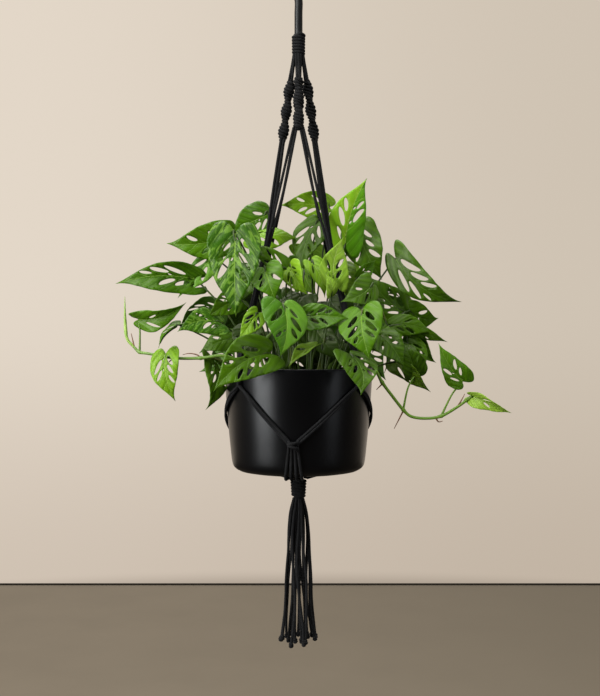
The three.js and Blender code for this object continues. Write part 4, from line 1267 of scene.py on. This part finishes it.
SHOOT_LEAVES = {
    "left_vine": [
        ("left_curl", (-194, -18, -445), (-135, -30, -426), 33, 22, 0.12, 0.15, (-193, -18, -485), "mid", 3),
        ("left_hanging", (-159, -36, -487), (-146, -48, -543), 36, 0, 0.1, 0.1, (-162, -28, -492), "lime", 5),
    ],
    "right_vine": [
        ("vine_hanging", (143, -12, -512), (129, -20, -476), 32, 0, 0.1, 0.1, (127, -20, -555), "dark", 3),
        ("vine_upper", (197, -30, -520), (168, -38, -474), 35, 0, 0.08, 0.1, (172, -28, -562), "mid", 4),
        ("vine_end", (209, -30, -538), (253, -42, -559), 24, 50, 0.08, 0.15, (199, -30, -545), "light", 2),
    ],
    "right_shoot": [
        ("small_right", (139, 12, -434), (175, 14, -444), 37, 10, 0.1, 0.1, (129, 10, -438), "dark", 4),
        ("dark_right", (133, 16, -435), (86, 8, -389), 45, 0, 0.1, 0.1, (128, 12, -439), "dark", 5),
        ("dark_right_low", (115, 0, -452), (164, -8, -462), 29, 20, 0.1, 0.1, (111, 2, -455), "dark", 3),
        ("shade_right", (101, -22, -465), (127, -32, -502), 39, 0, 0.1, 0.1, (97, -12, -467), "dark", 4),
        ("narrow_low", (151, 12, -468), (171, 10, -499), 21, 40, 0.1, 0.1, (131, 10, -453), "dark", 2),
        ("dark_right_mid", (116, 6, -448), (90, -4, -485), 42, 0, 0.1, 0.1, (111, 2, -455), "dark", 5),
        ("dark_right_under", (135, 2, -474), (150, -10, -515), 32, 0, 0.1, 0.1, (127, 10, -440), "dark", 4),
        ("dark_right_back", (125, 26, -440), (151, 18, -483), 40, 0, 0.1, 0.1, (127, 10, -440), "dark", 5),
        ("right_tip", (137, 6, -459), (183, -2, -474), 19, 20, 0.1, 0.1, (127, 10, -440), "dark", 2),
        ("right_inner", (97, 0, -455), (74, -10, -495), 39, 0, 0.1, 0.1, (91, -8, -467), "dark", 4),
        ("side_right_high", (84, 12, -398), (106, 14, -452), 44, -80, 0.1, 0.1, (111, 2, -455), "mid", 6),
        ("side_right_low", (96, 20, -458), (114, 32, -510), 44, -96, 0.1, 0.1, (111, 2, -455), "dark", 6),
    ],
    "centre_shoot": [
        ("shade_centre", (2, -38, -420), (-3, -52, -471), 45, 0, 0.1, 0.1, (-1, -30, -444), "shade", 2),
        ("shade_right_centre", (38, -34, -425), (58, -48, -468), 43, 0, 0.1, 0.1, (28, -30, -449), "shade", 2),
        ("shade_left", (-55, -50, -456), (-68, -62, -491), 35, 0, 0.1, 0.1, (-39, -44, -468), "shade", 2),
        ("centre_low_dark", (23, -42, -460), (51, -54, -494), 36, 0, 0.1, 0.1, (28, -30, -449), "shade", 2),
        ("left_low_dark", (-79, -12, -468), (-120, -26, -485), 32, 10, 0.1, 0.1, (-38, -44, -468), "dark", 3),
        ("left_under", (-70, -40, -422), (-108, -52, -445), 32, 0, 0.1, 0.1, (-38, -44, -468), "dark", 4),
        ("young_centre", (7, -18, -385), (22, -28, -417), 29, 0, 0.1, 0.1, (-1, -30, -444), "lime", 3),
    ],
    "back_left_shoot": [
        ("back_left_low", (-84, 84, -466), (-134, 118, -512), 52, 168, 0.1, 0.1, (-52, 52, -470), "dark", 6),
        ("back_left_mid", (-72, 78, -432), (-116, 108, -452), 46, 172, 0.1, 0.1, (-58, 60, -440), "mid", 5),
        ("back_left_side", (-98, 40, -430), (-154, 52, -452), 44, 120, 0.1, 0.1, (-60, 60, -430), "mid", 6),
        ("back_left_upper", (-58, 66, -378), (-76, 92, -420), 48, 178, 0.1, 0.1, (-54, 58, -380), "dark", 5),
        ("inner_left_low", (-46, 30, -460), (-78, 16, -502), 45, 0, 0.1, 0.1, (-52, 52, -470), "shade", 2),
        ("inner_left_mid", (-59, 36, -419), (-97, 24, -457), 43, 0, 0.1, 0.1, (-60, 62, -430), "shade", 2),
        ("inner_left_high", (-45, 36, -376), (-72, 22, -422), 43, 0, 0.1, 0.1, (-54, 58, -380), "dark", 5),
        ("left_behind", (-107, 8, -366), (-150, -2, -417), 32, -10, 0.1, 0.1, (-60, 62, -430), "two", 3),
        ("side_left_high", (-82, 14, -408), (-102, 18, -460), 44, 85, 0.1, 0.1, (-60, 62, -430), "mid", 6),
        ("side_left_low", (-94, 14, -464), (-112, 26, -514), 42, 96, 0.1, 0.1, (-52, 52, -470), "dark", 5),
        ("inner_rim_d", (-27, 42, -472), (-25, 34, -509), 38, 0, 0.1, 0.1, (-52, 52, -470), "shade", 2),
    ],
    "back_middle_shoot": [
        ("back_middle_low", (-8, 92, -462), (-14, 132, -508), 54, 180, 0.1, 0.1, (-6, 62, -464), "mid", 7),
        ("back_middle_side", (34, 92, -440), (58, 124, -472), 46, 190, 0.1, 0.1, (0, 68, -434), "dark", 5),
        ("back_middle_heart", (-12, 90, -410), (-18, 112, -458), 50, 178, 0.1, 0.1, (2, 70, -420), "two", 6),
        ("back_middle_upper", (12, 72, -348), (16, 98, -394), 48, 182, 0.1, 0.1, (5, 56, -350), "lime", 5),
        ("inner_middle_low", (-8, 30, -462), (-18, 12, -510), 48, 0, 0.1, 0.1, (-6, 62, -464), "shade", 2),
        ("inner_middle_right", (9, 34, -445), (31, 18, -490), 45, 0, 0.1, 0.1, (0, 66, -446), "shade", 2),
        ("inner_middle", (-1, 36, -414), (-11, 18, -462), 48, 0, 0.1, 0.1, (2, 70, -424), "shade", 2),
        ("inner_middle_high", (2, 42, -370), (-2, 28, -414), 43, 0, 0.1, 0.1, (6, 64, -370), "mid", 5),
        ("inner_small_left", (-22, 20, -420), (-39, 8, -455), 35, 0, 0.1, 0.1, (0, 68, -434), "shade", 2),
        ("inner_rim_a", (16, 42, -470), (9, 34, -509), 43, 0, 0.1, 0.1, (0, 66, -446), "shade", 2),
        ("inner_rim_c", (-6, 44, -472), (-10, 36, -509), 43, 0, 0.1, 0.1, (-6, 62, -464), "shade", 2),
        ("inner_rim_e", (-21, 50, -498), (26, 54, -497), 35, 0, 0.1, 0.1, (-6, 62, -464), "shade", 2),
    ],
    "back_right_shoot": [
        ("back_right_low", (82, 84, -474), (118, 118, -522), 52, 190, 0.1, 0.1, (54, 56, -472), "dark", 6),
        ("back_right_mid", (80, 74, -430), (124, 100, -456), 46, 186, 0.1, 0.1, (62, 62, -440), "mid", 5),
        ("back_right_side", (92, 46, -410), (140, 60, -436), 44, 236, 0.1, 0.1, (64, 64, -428), "mid", 5),
        ("back_right_upper", (62, 64, -382), (82, 90, -426), 46, 182, 0.1, 0.1, (58, 56, -384), "light", 4),
        ("inner_rim_b", (35, 44, -475), (30, 36, -509), 38, 0, 0.1, 0.1, (54, 56, -472), "shade", 2),
        ("inner_rim_f", (19, 60, -499), (66, 54, -494), 35, 0, 0.1, 0.1, (54, 56, -472), "shade", 2),
        ("inner_right_low", (47, 30, -462), (58, 14, -505), 45, 0, 0.1, 0.1, (54, 56, -472), "shade", 2),
        ("inner_right_mid", (60, 34, -419), (85, 22, -461), 45, 0, 0.1, 0.1, (64, 64, -430), "shade", 2),
        ("inner_right_high", (53, 38, -378), (67, 26, -418), 40, 0, 0.1, 0.1, (58, 56, -384), "olive", 4),
    ],
}
number = len(SOLO_LEAVES)
for shoot, (radius, scars, points) in STEMS.items():
    make_stem(f"stem_{shoot}", points, radius, shoot, scars)
    for row in SHOOT_LEAVES[shoot]:
        number += 1
        grow_leaf(row, number, shoot, rooted=False)
print("leaves on shoots:", number - len(SOLO_LEAVES))

# %% [markdown]
# ## The vines' small parts
#
# Two long shoots have climbed out over the rim. The left one ends in a new leaf that is still rolled
# up like a spear. Both have put out short brown aerial roots from their ring scars, as this plant
# does whenever a stem hangs in the air.

# %% Rolled new leaf and aerial roots
spear = smooth_line([(-200, -16, -479), (-209, -14, -468), (-211.5, -12.5, -446), (-212, -12, -417)], 1.2)
spear_radii = np.interp(np.linspace(0, 1, len(spear)), [0, 0.18, 0.35, 0.75, 1], [1.6, 1.9, 2.3, 1.2, 0.2])
keep(tube("rolled_new_leaf", spear, spear_radii, young_leaf, 14, lobes=2, depth=0.18, pitch=60),
     "foliage", "left_vine")
ROOTS = {
    "left_vine": [[(-117, -36, -492), (-122, -34, -488), (-131, -33, -486.5), (-139, -33, -488)],
                  [(-149, -30, -492), (-154, -28, -495), (-158, -28, -499)],
                  [(-200, -16, -479), (-202, -15, -470), (-204, -14, -462)]],
    "right_vine": [[(127, -22, -556), (122, -21, -566), (116, -20, -578)],
                   [(101, -38, -522), (97, -38, -526), (93, -38, -530)],
                   [(166, -27, -565), (169, -27, -569), (174, -28, -568)],
                   [(191, -30, -551), (196, -30, -543), (200, -31, -535)]],
}
for shoot, roots in ROOTS.items():
    for number, points in enumerate(roots):
        make_root(f"aerial_root_{shoot}_{number + 1}", points, shoot)
